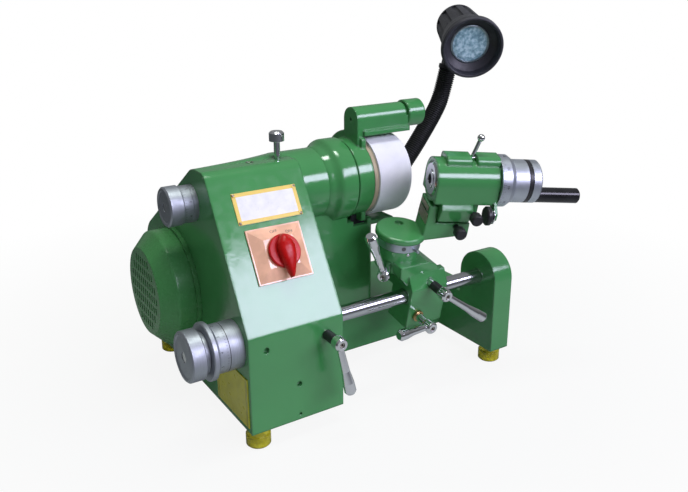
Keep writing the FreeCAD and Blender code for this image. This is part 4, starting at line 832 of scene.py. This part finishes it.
@dataclass
class Studio:
    """White floor and surroundings, one wide window of light and a dim lamp above."""

    reach: float = 6000.0
    floor_colour: Colour = (0.52, 0.54, 0.52)
    middle: tuple[float, float, float] = (0.0, 0.0, 0.16)
    near: float = 0.30
    far: float = 0.80
    near_white: float = 0.90
    far_dim: float = 0.85
    floor_gap: float = 0.4
    white: Colour = (1.0, 1.0, 1.0)
    dim_colour: Colour = (0.75, 0.9, 1.0)
    dim: float = 0.06
    sky: Colour = (0.94, 0.97, 1.0)

    def floor(self) -> None:
        """Flat floor under the feet: far off it fades to white for the camera and to dim for metal."""
        low = -MOVE[2] - self.floor_gap
        side = self.reach
        corners = np.array(((-side, -side, low), (side, -side, low), (side, side, low), (-side, side, low)))
        piece = put("studio_floor", corners, [(0, 1, 2, 3)], False)
        r = Recipe("studio_floor")
        path = r.node("ShaderNodeLightPath").outputs
        seen = r.maths("MAXIMUM", Num(r, path["Is Camera Ray"]), Num(r, path["Is Transmission Ray"]))
        away = r.node("ShaderNodeVectorMath", {"operation": "LENGTH"}, {0: r.place()}).outputs["Value"]
        share = r.spread(Num(r, away), self.near, self.far, self.near_white, 1.0)
        fade = r.spread(Num(r, away), self.near, self.far, 0.0, self.far_dim)
        mirrored = Num(r, path["Is Glossy Ray"]) * fade
        lit = r.node("ShaderNodeBsdfDiffuse", None, {"Color": self.floor_colour}).outputs[0]
        dark = r.node("ShaderNodeEmission", None, {"Color": self.dim_colour, "Strength": self.dim}).outputs[0]
        plain = r.node("ShaderNodeMixShader", None, {0: mirrored, 1: lit, 2: dark}).outputs[0]
        white = r.node("ShaderNodeEmission", None, {"Color": self.white, "Strength": 1.0}).outputs[0]
        both = r.node("ShaderNodeMixShader", None, {0: seen * share, 1: plain, 2: white}).outputs[0]
        r.node("ShaderNodeOutputMaterial", None, {"Surface": both})
        piece.data.materials.append(r.material)

    def world(self) -> None:
        """White to the camera; to the object dim at the horizon, paler above and low behind the machine."""
        world = bpy.data.worlds.new("studio_world")
        world.use_nodes = True
        r = Recipe.of_tree(world.node_tree)
        path = r.node("ShaderNodeLightPath").outputs
        seen = r.maths("MAXIMUM", Num(r, path["Is Camera Ray"]), Num(r, path["Is Transmission Ray"]))
        way = r.node("ShaderNodeTexCoord").outputs["Generated"]
        parts = r.node("ShaderNodeSeparateXYZ", None, {0: way}).outputs
        east, north, rise = (Num(r, parts[k]) for k in range(3))
        band = r.spread(rise, 0.12, 0.55, 1.0, 0.0) * r.spread(north + east * 0.5, 0.1, 0.8)
        above = r.spread(rise, 0.05, 0.9, 0.05, 0.30)
        strength = above + r.spread(east, -1.0, 1.0, 0.0, 0.06) + band * 0.18
        light = r.node("ShaderNodeBackground", None, {0: self.sky, 1: strength}).outputs[0]
        white = r.node("ShaderNodeBackground", None, {0: self.white, 1: 1.0}).outputs[0]
        both = r.node("ShaderNodeMixShader", None, {0: seen, 1: light, 2: white}).outputs[0]
        r.node("ShaderNodeOutputWorld", None, {"Surface": both})
        bpy.context.scene.world = world

    def lamp(self, name: str, away: float, azimuth: float, rise: float, size: tuple[float, float],
             watts: float, colour: Colour) -> None:
        """Soft rectangular lamp aimed at the middle of the machine.

        Args:
            name: name of the lamp.
            away: distance from the middle in metres.
            azimuth: degrees from straight in front towards the right.
            rise: degrees above the horizon.
            size: width and height in metres.
            watts: its strength.
            colour: its tint.
        """
        data = bpy.data.lights.new(name, "AREA")
        data.shape = "RECTANGLE"
        data.size, data.size_y = size
        data.energy = watts
        data.color = colour
        lamp = bpy.data.objects.new(name, data)
        bpy.context.scene.collection.objects.link(lamp)
        turn, up = math.radians(azimuth), math.radians(rise)
        way = np.array((math.sin(turn) * math.cos(up), -math.cos(turn) * math.cos(up), math.sin(up)))
        lamp.location = np.array(self.middle) + way * away
        lamp.rotation_mode = "QUATERNION"
        lamp.rotation_quaternion = Vector(-way).to_track_quat("-Z", "Y")

    def build(self) -> None:
        """Sets up the studio."""
        self.floor()
        self.world()
        self.lamp("window_lamp", 2.5, 20.0, 28.0, (2.33, 0.74), 57.0, (0.78, 0.75, 1.0))
        self.lamp("top_lamp", 1.8, -10.0, 84.0, (0.9, 0.36), 15.0, (0.95, 1.0, 0.96))


def finishes() -> Looks:
    """All finishes by the name of their slot or use."""
    green = (0.057, 0.270, 0.078)
    steel = (0.62, 0.63, 0.65)
    satin = (0.60, 0.64, 0.70)
    dull = (0.46, 0.49, 0.53)
    turned = Brushing.TURNED
    made = [
        Enamel("green_enamel", green),
        Enamel("blend_enamel", green, edge=0.3),
        Enamel("motor_green", (0.072, 0.280, 0.085), 0.26, 1.2, 0.06, 1.38),
        Metal("bright_steel", steel, 0.16, turned, BAR_AXES, 0.3, 0.004),
        Metal("dark_steel", (0.2, 0.2, 0.21), 0.35),
        Metal("lever_chrome", (0.80, 0.80, 0.82), 0.05, depth=0.0005),
        Metal("dial_aluminium", (0.70, 0.71, 0.74), 0.3),
        Metal("feed_aluminium", dull, 0.5, turned, SPINDLE_AXES),
        Metal("fine_aluminium", dull, 0.5, turned, BAR_AXES),
        Metal("head_aluminium", satin, 0.40, turned, HEAD_AXES),
        Metal("head_steel", steel, 0.2, turned, HEAD_AXES),
        Metal("lens_rim", (0.42, 0.50, 0.54), 0.3),
        Plastic("shade_plastic", (0.026, 0.026, 0.032), 0.46),
        Plastic("hose_plastic", (0.005, 0.006, 0.006), 0.5, ior=1.4),
        Metal("socket_steel", (0.45, 0.42, 0.38), 0.22),
        Metal("rivet_steel", (0.36, 0.28, 0.20), 0.3),
        Plastic("black_plastic", (0.012, 0.012, 0.014), 0.36),
        Plastic("gloss_black", (0.008, 0.008, 0.009), 0.16, depth=0.004),
        Abrasive("white_abrasive"),
        Plastic("backing_brown", (0.40, 0.33, 0.22), 0.6),
        Plastic("switch_red", (0.42, 0.002, 0.002), 0.30, depth=0.006, ior=1.36),
        Plastic("bezel_beige", (0.74, 0.42, 0.27), 0.14, depth=0.004, ior=1.8),
        Amber("foot_amber"),
        Metal("bronze", (0.55, 0.36, 0.16), 0.25),
        Plastic("belt_rubber", (0.03, 0.03, 0.03), 0.7),
        Metal("winding", (0.45, 0.2, 0.09), 0.4),
        Lens("lamp_glass"),
        Framed("plate_white", SLOPE_AXES.within((*PLATE_CENTRE, 0.0)), (38.0, 17.3),
               (0.80, 0.80, 0.77), (0.78, 0.56, 0.10), 0.0, 4.2),
        Framed("plate_yellow", Axes.along((0.0, 44.5, 34.5), (0, -1, 0), UP), (39.5, 28.5),
               (0.66, 0.62, 0.035), (0.14, 0.15, 0.03), 2.0, 0.8, (4.2, 0.8)),
        Ruler("cheek_scale", CHEEK_AXES),
        Plastic("print_grey", (0.10, 0.09, 0.09), 0.5),
    ]
    for name, colour, roughness, scale in (
            ("fine_scale", dull, 0.5, Scale(BAR_AXES, 50, -19.6, 1.6, 3.0, 5, 0.6, 24.0, (-16.0,))),
            ("feed_scale", dull, 0.5, Scale(SPINDLE_AXES, 40, -14.6, 1.6, 3.0, 5, 0.7, 19.0)),
            ("swivel_scale", satin, 0.40, Scale(SWIVEL_AXES.upright(), 72, 66.0, 1.8, 2.6, 2, 0.5, 18.0)),
            ("index_scale", satin, 0.38, Scale(HEAD_AXES, 72, 101.0, 2.2, 4.0, 3, 0.6, 26.0))):
        made.append(Dial(name, Metal(name, colour, roughness, turned, scale.axes), scale))
    return {finish.name: finish.material() for finish in made}


SPECIAL = {
    "feed_sleeve": "feed_scale", "feed_knob": "feed_aluminium", "fine_knob": "fine_aluminium",
    "fine_sleeve": "fine_scale", "swivel_ring": "swivel_scale", "index_ring": "index_scale",
    "index_drum": "head_aluminium", "nose_nut": "head_steel", "collet": "head_steel",
    "index_spindle": "head_steel", "dresser": "green_enamel", "lamp_shade": "shade_plastic",
}


@dataclass
class Gooseneck:
    """Ribbed hose of the lamp, on a cubic spline through the hose's poles."""

    poles: list[tuple[float, float, float]] = field(default_factory=lambda: [
        (240, 190, 74), (240, 190, 102), (256, 184, 142), (290, 176, 178), (322, 171, 213), (352, 170, 252),
        (379, 170, 289)])
    lug_back: float = 76.0
    pivot_drop: float = 41.0
    fork_drop: float = 14.0
    crest: float = 11.7
    root: float = 10.0
    ribs: int = 112
    rings: int = 8
    sides: int = 28
    lead: float = 3.0
    fullness: float = 1.35
    steps: int = 4000

    def line(self, count: int) -> tuple[np.ndarray, np.ndarray]:
        """Evenly spaced points and directions on the spline.

        The spline is the uniform cubic one that starts and ends on its first and last pole; every point is
        found by repeated blending of neighbouring poles.

        Args:
            count: how many points.

        Returns:
            Points and unit directions.
        """
        stem = np.array(LAMP_STEM) / np.linalg.norm(LAMP_STEM)
        pivot = LAMP_AXES.origin - LAMP_AXES.x * self.lug_back + LAMP_AXES.z * self.pivot_drop
        top = pivot + stem * self.fork_drop
        poles = np.array(self.poles + [tuple(top + stem * self.lead * self.crest), tuple(top)])
        spans = len(poles) - 3
        knots = np.concatenate((np.zeros(3), np.arange(spans + 1), np.full(3, spans)))
        t = np.linspace(0, spans - 1e-9, self.steps)
        cell = np.clip(np.floor(t).astype(int), 0, spans - 1) + 3
        d = [poles[cell - 3 + j] for j in range(4)]
        for level in range(1, 4):
            for j in range(3, level - 1, -1):
                low = knots[cell - 3 + j]
                share = ((t - low) / (knots[cell + 1 + j - level] - low))[:, None]
                d[j] = (1 - share) * d[j - 1] + share * d[j]
        fine = d[3]
        run = np.concatenate(((0.0,), np.cumsum(np.linalg.norm(np.diff(fine, axis=0), axis=1))))
        want = np.linspace(0, run[-1], count)
        points = np.stack([np.interp(want, run, fine[:, k]) for k in range(3)], -1)
        way = np.gradient(points, axis=0)
        return points, way / np.linalg.norm(way, axis=1)[:, None]

    def build(self, looks: Looks) -> None:
        """Makes the hose: its radius swells and falls once for each rib.

        Args:
            looks: finishes by name.
        """
        count = self.ribs * self.rings + 1
        points, way = self.line(count)
        side = np.cross((0.0, 1.0, 0.0), way)
        side = side / np.linalg.norm(side, axis=1)[:, None]
        over = np.cross(way, side)
        phase = np.arange(count) / self.rings % 1.0
        swell = np.clip(self.fullness * np.sin(np.pi * phase), 0.0, 1.0)
        radius = self.root + (self.crest - self.root) * swell
        turn = np.arange(self.sides) * math.tau / self.sides
        skin = (points[:, None] + radius[:, None, None]
                * (np.cos(turn)[None, :, None] * side[:, None] + np.sin(turn)[None, :, None] * over[:, None]))
        faces = grid_faces(count, self.sides, True).tolist()
        faces.append(list(range(self.sides))[::-1])
        faces.append(list(range((count - 1) * self.sides, count * self.sides)))
        hose = put("lamp_gooseneck", skin, faces)
        own(hose, "machine", looks["hose_plastic"])
        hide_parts("lamp_hose")


@dataclass(frozen=True)
class RingNumbers:
    """Plain numbers round a dial; each figure is wrapped on the cylinder with its top towards -X."""

    name: str
    body: str
    axes: Axes
    radius: float
    along: float
    height: float
    labels: tuple[str, ...]
    first_deg: float
    step_deg: float

    def build(self, looks: Looks) -> None:
        """Makes the figures: across turns into angle, up into place along the axis.

        Args:
            looks: finishes by name.
        """
        shapes = []
        for order, label in enumerate(self.labels):
            points, faces = letters(label, self.height)
            turn = math.radians(self.first_deg + order * self.step_deg) - points[:, 0] / self.radius
            out = self.radius + points[:, 2]
            local = np.stack((self.along - points[:, 1], out * np.cos(turn), out * np.sin(turn)), -1)
            shapes.append((self.axes.place(local), faces))
        own(put(self.name, *joined(shapes), False), self.body, looks["black_plastic"])


@dataclass(frozen=True)
class LeverTrim:
    """Socket screw in the hub of a clamp lever, and the sleeve round its stud."""

    body: str
    base: np.ndarray
    way: np.ndarray
    reach: float
    sleeve: tuple[float, float, float] | None = None
    look: str = "black_plastic"
    flat: float = 3.6
    stud: float = 5.03
    screw_radius: float = 3.15
    screw_ends: tuple[float, float] = (1.0, 3.2)
    socket_depth: float = 1.7
    chamfer: float = 0.3
    clocking: tuple[float, float, float] = (0.13, 0.21, 1.0)

    def screw(self, axes: Axes, sides: int = 48) -> Shape:
        """Round screw with a hexagon hole: half the flat over the cosine of the angle from the flat's middle.

        Args:
            axes: frame whose X is the stud's axis.
            sides: how many steps make the turn.

        Returns:
            Points on the datum and quads.
        """
        turn = np.arange(sides) * math.tau / sides
        hexagon = 0.5 * self.flat / np.cos(turn % (math.tau / 6) - math.tau / 12)
        start, top = (self.reach + end for end in self.screw_ends)
        floor = top - self.socket_depth
        rows = ((start, 0.0), (start, self.screw_radius), (top - self.chamfer, self.screw_radius),
                (top, self.screw_radius - 0.25), (top, hexagon), (floor, hexagon * 0.98), (floor, 0.0))
        radius = np.stack([np.broadcast_to(row[1], sides) for row in rows])
        along = np.repeat(np.array([row[0] for row in rows])[:, None], sides, 1)
        local = np.stack((along, radius * np.cos(turn), radius * np.sin(turn)), -1)
        return axes.place(local), grid_faces(len(rows), sides, True)

    def build(self, looks: Looks) -> None:
        """Makes the screw and the sleeve.

        Args:
            looks: finishes by name.
        """
        axes = Axes.along(self.base, self.way, self.clocking)
        own(put(f"{self.body}_screw", *self.screw(axes)), self.body, looks["socket_steel"])
        if self.sleeve is not None:
            start, end, radius = self.sleeve
            inner = radius - self.chamfer
            profile = ((start, self.stud), (start, inner), (start + self.chamfer, radius),
                       (end - self.chamfer, radius), (end, inner), (end, self.stud), (start, self.stud))
            own(put(f"{self.body}_sleeve", *lathe(profile, axes)), self.body, looks[self.look])


@dataclass(frozen=True)
class SwitchTrim:
    """Smooth red knob of the switch and the two words on its bezel.

    The grip is given by stations along the slope: its place, half width and height at each of them.
    """

    base: float = 8.4
    radius: float = 18.2
    foot: tuple[float, ...] = (0.4, 3.0, 4.2, 4.6)
    place: tuple[float, ...] = (-29.2, -29.0, -27.6, -23.0, -16.0, -9.0, -2.0, 3.0, 8.0, 12.0, 15.6,
                                17.2, 17.4)
    wide: tuple[float, ...] = (0.0, 1.2, 2.2, 4.0, 6.4, 8.4, 9.6, 9.8, 8.6, 6.2, 3.2, 1.2, 0.0)
    high: tuple[float, ...] = (4.0, 7.6, 9.0, 11.0, 13.0, 14.4, 15.2, 15.4, 15.0, 13.8, 11.6, 8.6, 4.0)
    tip: float = 4.0
    lift: float = 0.1
    power: float = 2.2
    rows: int = 49
    sides: int = 40
    facet: tuple[float, float] = (6.0, 12.75)
    letter: float = 3.6
    words: tuple[tuple[str, tuple[float, float, float]], ...] = (
        ("OFF", (57.6, 102.6, 4.45)), ("ON", (74.6, 99.6, 5.86)))

    def knob(self) -> Shape:
        """Round foot with a grip like a teardrop.

        The grip's sections along the slope are rounded rectangles, |x/b|^n + |w/h|^n = 1, whose half width b
        and height h follow the outline of a drop that points down.

        Returns:
            Points on the datum and faces.
        """
        axes = SLOPE_AXES.within((*SWITCH_CENTRE, self.base))
        soft, side, bend, top = self.foot
        foot = lathe(((0.0, 0.0), (0.0, self.radius - soft), (soft, self.radius), (side, self.radius),
                      (bend, self.radius - bend + side), (top, 0.0)), axes.upright(), 72)
        rows = np.linspace(0, len(self.place) - 1, self.rows)
        stations = np.arange(len(self.place))
        along, b, h = (np.interp(rows, stations, part) for part in (self.place, self.wide, self.high))
        turn = np.arange(self.sides) * math.tau / self.sides
        power = 2.0 / self.power
        across = b[:, None] * np.sign(np.cos(turn)) * np.abs(np.cos(turn)) ** power
        rise = 0.5 * h[:, None] * (1.0 + np.sign(np.sin(turn)) * np.abs(np.sin(turn)) ** power) + self.lift
        rise[(0, -1), :] = self.tip
        grip = np.stack((across, np.repeat(along[:, None], self.sides, 1), rise), -1)
        return joined((foot, (axes.place(grip), grid_faces(self.rows, self.sides, True))))

    def build(self, looks: Looks) -> None:
        """Makes the knob and the words.

        Args:
            looks: finishes by name.
        """
        knob = own(put("switch_grip", *self.knob()), "power_switch", looks["switch_red"])
        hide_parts("switch_knob")
        fall = math.atan2(*self.facet)
        out = SLOPE_AXES.z * math.cos(fall) + SLOPE_AXES.y * math.sin(fall)
        shapes = []
        for words, place in self.words:
            axes = Axes.along(SLOPE_AXES.place(np.array(place)), SLOPE_AXES.x, out)
            points, faces = letters(words, self.letter)
            shapes.append((axes.place(points), faces))
        own(put("switch_words", *joined(shapes), False), "machine", looks["print_grey"])


@dataclass(frozen=True)
class TopBlend:
    """Ramp that carries the rounded top of the box over into the spindle tube."""

    start: float = 3.0
    full: float = 102.0
    end: float = 114.0
    front: float = 111.0
    back: float = 168.5
    top: float = TOP_HEIGHT
    flat_end: float = 113.1
    corner: float = 30.0
    fall: float = math.radians(33.0)
    tube: float = 42.0
    soft: float = 1.2
    lift: float = 0.04
    depth: float = 1.5
    rows: int = 26
    columns: int = 48

    def box_height(self, y: np.ndarray) -> np.ndarray:
        """Height of the box: flat, then an arc, then the straight fall to the back.

        Args:
            y: places from front to back.

        Returns:
            The height at each place.
        """
        turned = self.flat_end + self.corner * math.sin(self.fall)
        low = self.top - self.corner
        arc = low + np.sqrt(self.corner ** 2 - np.clip(y - self.flat_end, 0.0, turned - self.flat_end) ** 2)
        return arc - np.clip(y - turned, 0.0, None) * math.tan(self.fall)

    def build(self, looks: Looks) -> None:
        """Makes the ramp: the box's height plus a share of the tube's rise over it, which grows along X.

        Args:
            looks: finishes by name.
        """
        x = np.concatenate((np.linspace(self.start, self.full, self.rows), (self.end,)))[:, None]
        y = np.linspace(self.front, self.back, self.columns)[None, :]
        base = self.box_height(y)
        tube = SPINDLE[2] + np.sqrt(np.clip(self.tube ** 2 - (y - SPINDLE[1]) ** 2, 0.0, None))
        rise = np.clip(tube - base, 0.0, None)
        rise = rise * (1.0 - np.exp(-(rise / self.soft) ** 2))
        share = np.clip((x - self.start) / (self.full - self.start), 0.0, 1.0)
        over = base + share * rise + self.lift
        under = np.broadcast_to(base - self.depth, over.shape)[:, ::-1]
        ring_y = np.broadcast_to(np.concatenate((y, y[:, ::-1]), 1), (len(x), 2 * y.size))
        points = np.stack((np.broadcast_to(x, ring_y.shape), ring_y, np.concatenate((over, under), 1)), -1)
        caps = [np.broadcast_to(points[row].mean(0), points[row].shape)[None] for row in (0, -1)]
        points = np.concatenate((caps[0], points, caps[1]))
        own(put("top_blend", points, grid_faces(len(points), 2 * y.size, True)), "machine",
            looks["blend_enamel"])


@dataclass(frozen=True)
class TurnedTrim:
    """A small turned piece: (along, radius) points spun about local X."""

    name: str
    body: str
    axes: Axes
    profile: Profile
    slot: str
    look: str
    sides: int = 40

    def build(self, looks: Looks) -> None:
        """Makes the piece."""
        shape = lathe(self.profile, self.axes, self.sides)
        own(put(self.name, *shape), self.body, looks[self.look])


@dataclass(frozen=True)
class FlatTrim:
    """A small flat piece with rounded corners."""

    name: str
    body: str
    axes: Axes
    half: tuple[float, float]
    corner: float
    low: float
    thick: float
    slot: str
    look: str

    def build(self, looks: Looks) -> None:
        """Makes the piece."""
        shape = slab(self.axes, self.half, self.corner, self.low, self.low + self.thick)
        own(put(self.name, *shape), self.body, looks[self.look])


@dataclass(frozen=True)
class PlateRivets:
    """Domed rivets in the four corners of the name plate."""

    out: float = 35.9
    up: float = 15.2
    lift: float = 1.0
    dome: Profile = ((0.0, 0.0), (0.0, 1.9), (0.45, 1.75), (0.85, 1.2), (1.02, 0.0))
    sides: int = 20

    def build(self, looks: Looks) -> None:
        """Makes the rivets.

        Args:
            looks: finishes by name.
        """
        shapes = []
        for u in (-self.out, self.out):
            for v in (-self.up, self.up):
                axes = SLOPE_AXES.within((PLATE_CENTRE[0] + u, PLATE_CENTRE[1] + v, self.lift))
                shapes.append(lathe(self.dome, axes.upright(), self.sides))
        own(put("plate_rivets", *joined(shapes)), "machine", looks["rivet_steel"])


def swivel_side(turn_deg: float, radius: float, height: float) -> Axes:
    """Frame on the round top of the carriage, X pointing outwards.

    Args:
        turn_deg: angle about the swivel.
        radius: distance from the swivel's axis.
        height: place along the swivel's axis.

    Returns:
        The frame.
    """
    turn = math.radians(turn_deg)
    return SWIVEL_AXES.within((radius * math.cos(turn), radius * math.sin(turn), height), turn_deg)


def strips() -> list[FlatTrim]:
    """The two scale strips on the cheek of the arm, one on the arm and one on the head."""
    return [FlatTrim(name, body, CHEEK_AXES.within((0.0, place, 0.0)), half, 1.2, low, 0.7,
                     "dial_aluminium", "cheek_scale")
            for name, body, place, half, low in (("arm_strip", "swing_arm", -17.5, (16.0, 6.4), 0.05),
                                                 ("head_strip", "work_head", -5.3, (13.6, 2.7), 0.55))]


def rings() -> list[TurnedTrim | FlatTrim]:
    """Rings, rims and screws that finish the castings, and dark pieces of painted shade in the motor's vents,
    the pedestal's notch and the swivel's pointer notch.
    """
    washer = ((92.32, 6.2), (92.32, 7.0), (94.9, 9.3), (95.4, 9.3), (95.4, 5.2), (92.32, 6.2))
    swell = ((148.0, 41.0), (150.0, 42.05), (156.0, 42.8), (160.0, 44.6), (163.0, 47.4), (165.5, 49.3),
             (168.0, 49.9), (185.4, 49.9), (186.0, 49.3), (186.0, 41.0), (148.0, 41.0))
    lens = ((-16.2, 22.2), (-16.2, 24.9), (-15.4, 24.7), (-14.9, 23.4), (-15.2, 22.2), (-16.2, 22.2))
    rim = ((0.02, 2.9), (0.02, 4.4), (0.35, 4.2), (0.45, 3.3), (0.02, 2.9))
    baffle = ((-39.4, 0.0), (-39.4, 46.8), (-38.8, 47.2), (-38.4, 46.8), (-38.4, 0.0))
    pointer = ((-1.0, 0.0), (-1.0, 2.6), (0.25, 2.6), (0.4, 2.2), (0.4, 0.0))
    screw = ((-1.0, 0.0), (-1.0, 2.4), (0.8, 2.4), (1.3, 1.8), (1.5, 0.0))
    plunger = HEAD_AXES.within((0.0, -30.0, -31.0))
    hole = Axes.along((63.0, 110.0, TOP_HEIGHT), UP, RIGHT)
    vent = Axes.along((0.0, 190.0, 106.0), RIGHT, UP)
    notch = Axes.along((205.25, 109.9, 172.5), RIGHT, (0.0, -1.0, 0.0))
    return [
        TurnedTrim("plunger_washer", "index_pin", plunger, washer, "lever_chrome", "lever_chrome"),
        TurnedTrim("nose_swell", "machine", SPINDLE_AXES, swell, "green_enamel", "green_enamel", 144),
        TurnedTrim("lens_ring", "lamp_head", LAMP_AXES, lens, "dial_aluminium", "lens_rim", 64),
        TurnedTrim("oil_hole_rim", "machine", hole, rim, "bright_steel", "socket_steel"),
        # Painted shade: a near-black disc inside the motor's fan cover makes the vent slots read dark.
        TurnedTrim("vent_painted_shade_disc", "machine", vent, baffle, "black_plastic", "hose_plastic", 64),
        # Painted shade: a black plate at the back of the pedestal's notch makes the recess read dark.
        FlatTrim("notch_painted_shade_plate", "machine", notch, (10.0, 6.2), 0.6, 0.0, 0.5,
                 "black_plastic", "black_plastic"),
        # Painted shade: a dark disc stands for the shaded pointer notch on the carriage's round top.
        TurnedTrim("swivel_notch_painted_shade", "carriage_body", swivel_side(246.0, 25.6, 62.5), pointer,
                   "black_plastic", "dark_steel"),
        TurnedTrim("swivel_screw", "carriage_body", swivel_side(261.0, 25.0, 54.0), screw,
                   "bright_steel", "lever_chrome"),
    ]


def levers() -> list[LeverTrim]:
    """Trim of the four clamp levers."""
    front = np.array((0.0, -1.0, 0.0))
    out = -LEAN_AXES.y
    side = np.array((-0.722, -0.692, 0.0))
    swivel_way = LEAN_AXES.x * side[0] + LEAN_AXES.y * side[1]
    swivel_base = LEAN_AXES.place(np.array((214.9, 30.0, 38.0)) + 18.0 * side)
    lean_base = LEAN_AXES.place(np.array((248.0, -10.0, 18.5)))
    slide_base = LEAN_AXES.place(np.array((233.0, -14.2, -22.0)))
    return [
        LeverTrim("bar_lock", np.array((92.5, 0.0, 92.0)), front, 27.0, (0.5, 17.5, 5.8)),
        LeverTrim("lean_lock", lean_base, out, 30.0, (6.0, 20.5, 5.8)),
        LeverTrim("slide_lock", slide_base, out, 27.0, (0.4, 3.5, 7.0), "bronze"),
        LeverTrim("swivel_lock", swivel_base, swivel_way, 25.0),
    ]


def numbers() -> list[RingNumbers]:
    """Figures on the dials."""
    tens = tuple(str(10 * k) for k in range(9))
    ones = tuple("0123456789")
    return [
        RingNumbers("fine_numbers", "machine", BAR_AXES, 26.0, -24.6, 2.8, ones, 20.0, 36.0),
        RingNumbers("feed_numbers", "machine", SPINDLE_AXES, 20.5, -8.6, 2.6, ones[:8], 25.0, 45.0),
        RingNumbers("index_numbers", "index_unit", HEAD_AXES, 30.4, 107.6, 3.0, tens, 10.0, 40.0),
    ]


def main() -> None:
    """Builds the studio, dresses every solid and adds the small fittings."""
    bpy.context.scene.view_settings.view_transform = "Standard"
    View().build()
    Studio().build()
    looks = finishes()
    for part in frame["record"]["subparts"]:
        node = part["node"]
        dress(node, looks[SPECIAL.get(node, part["material_slot"])])
    assemblies = [Gooseneck(), SwitchTrim(), TopBlend(), PlateRivets()]
    for assembly in assemblies + strips() + rings() + levers() + numbers():
        assembly.build(looks)


if __name__ == "__main__":
    main()
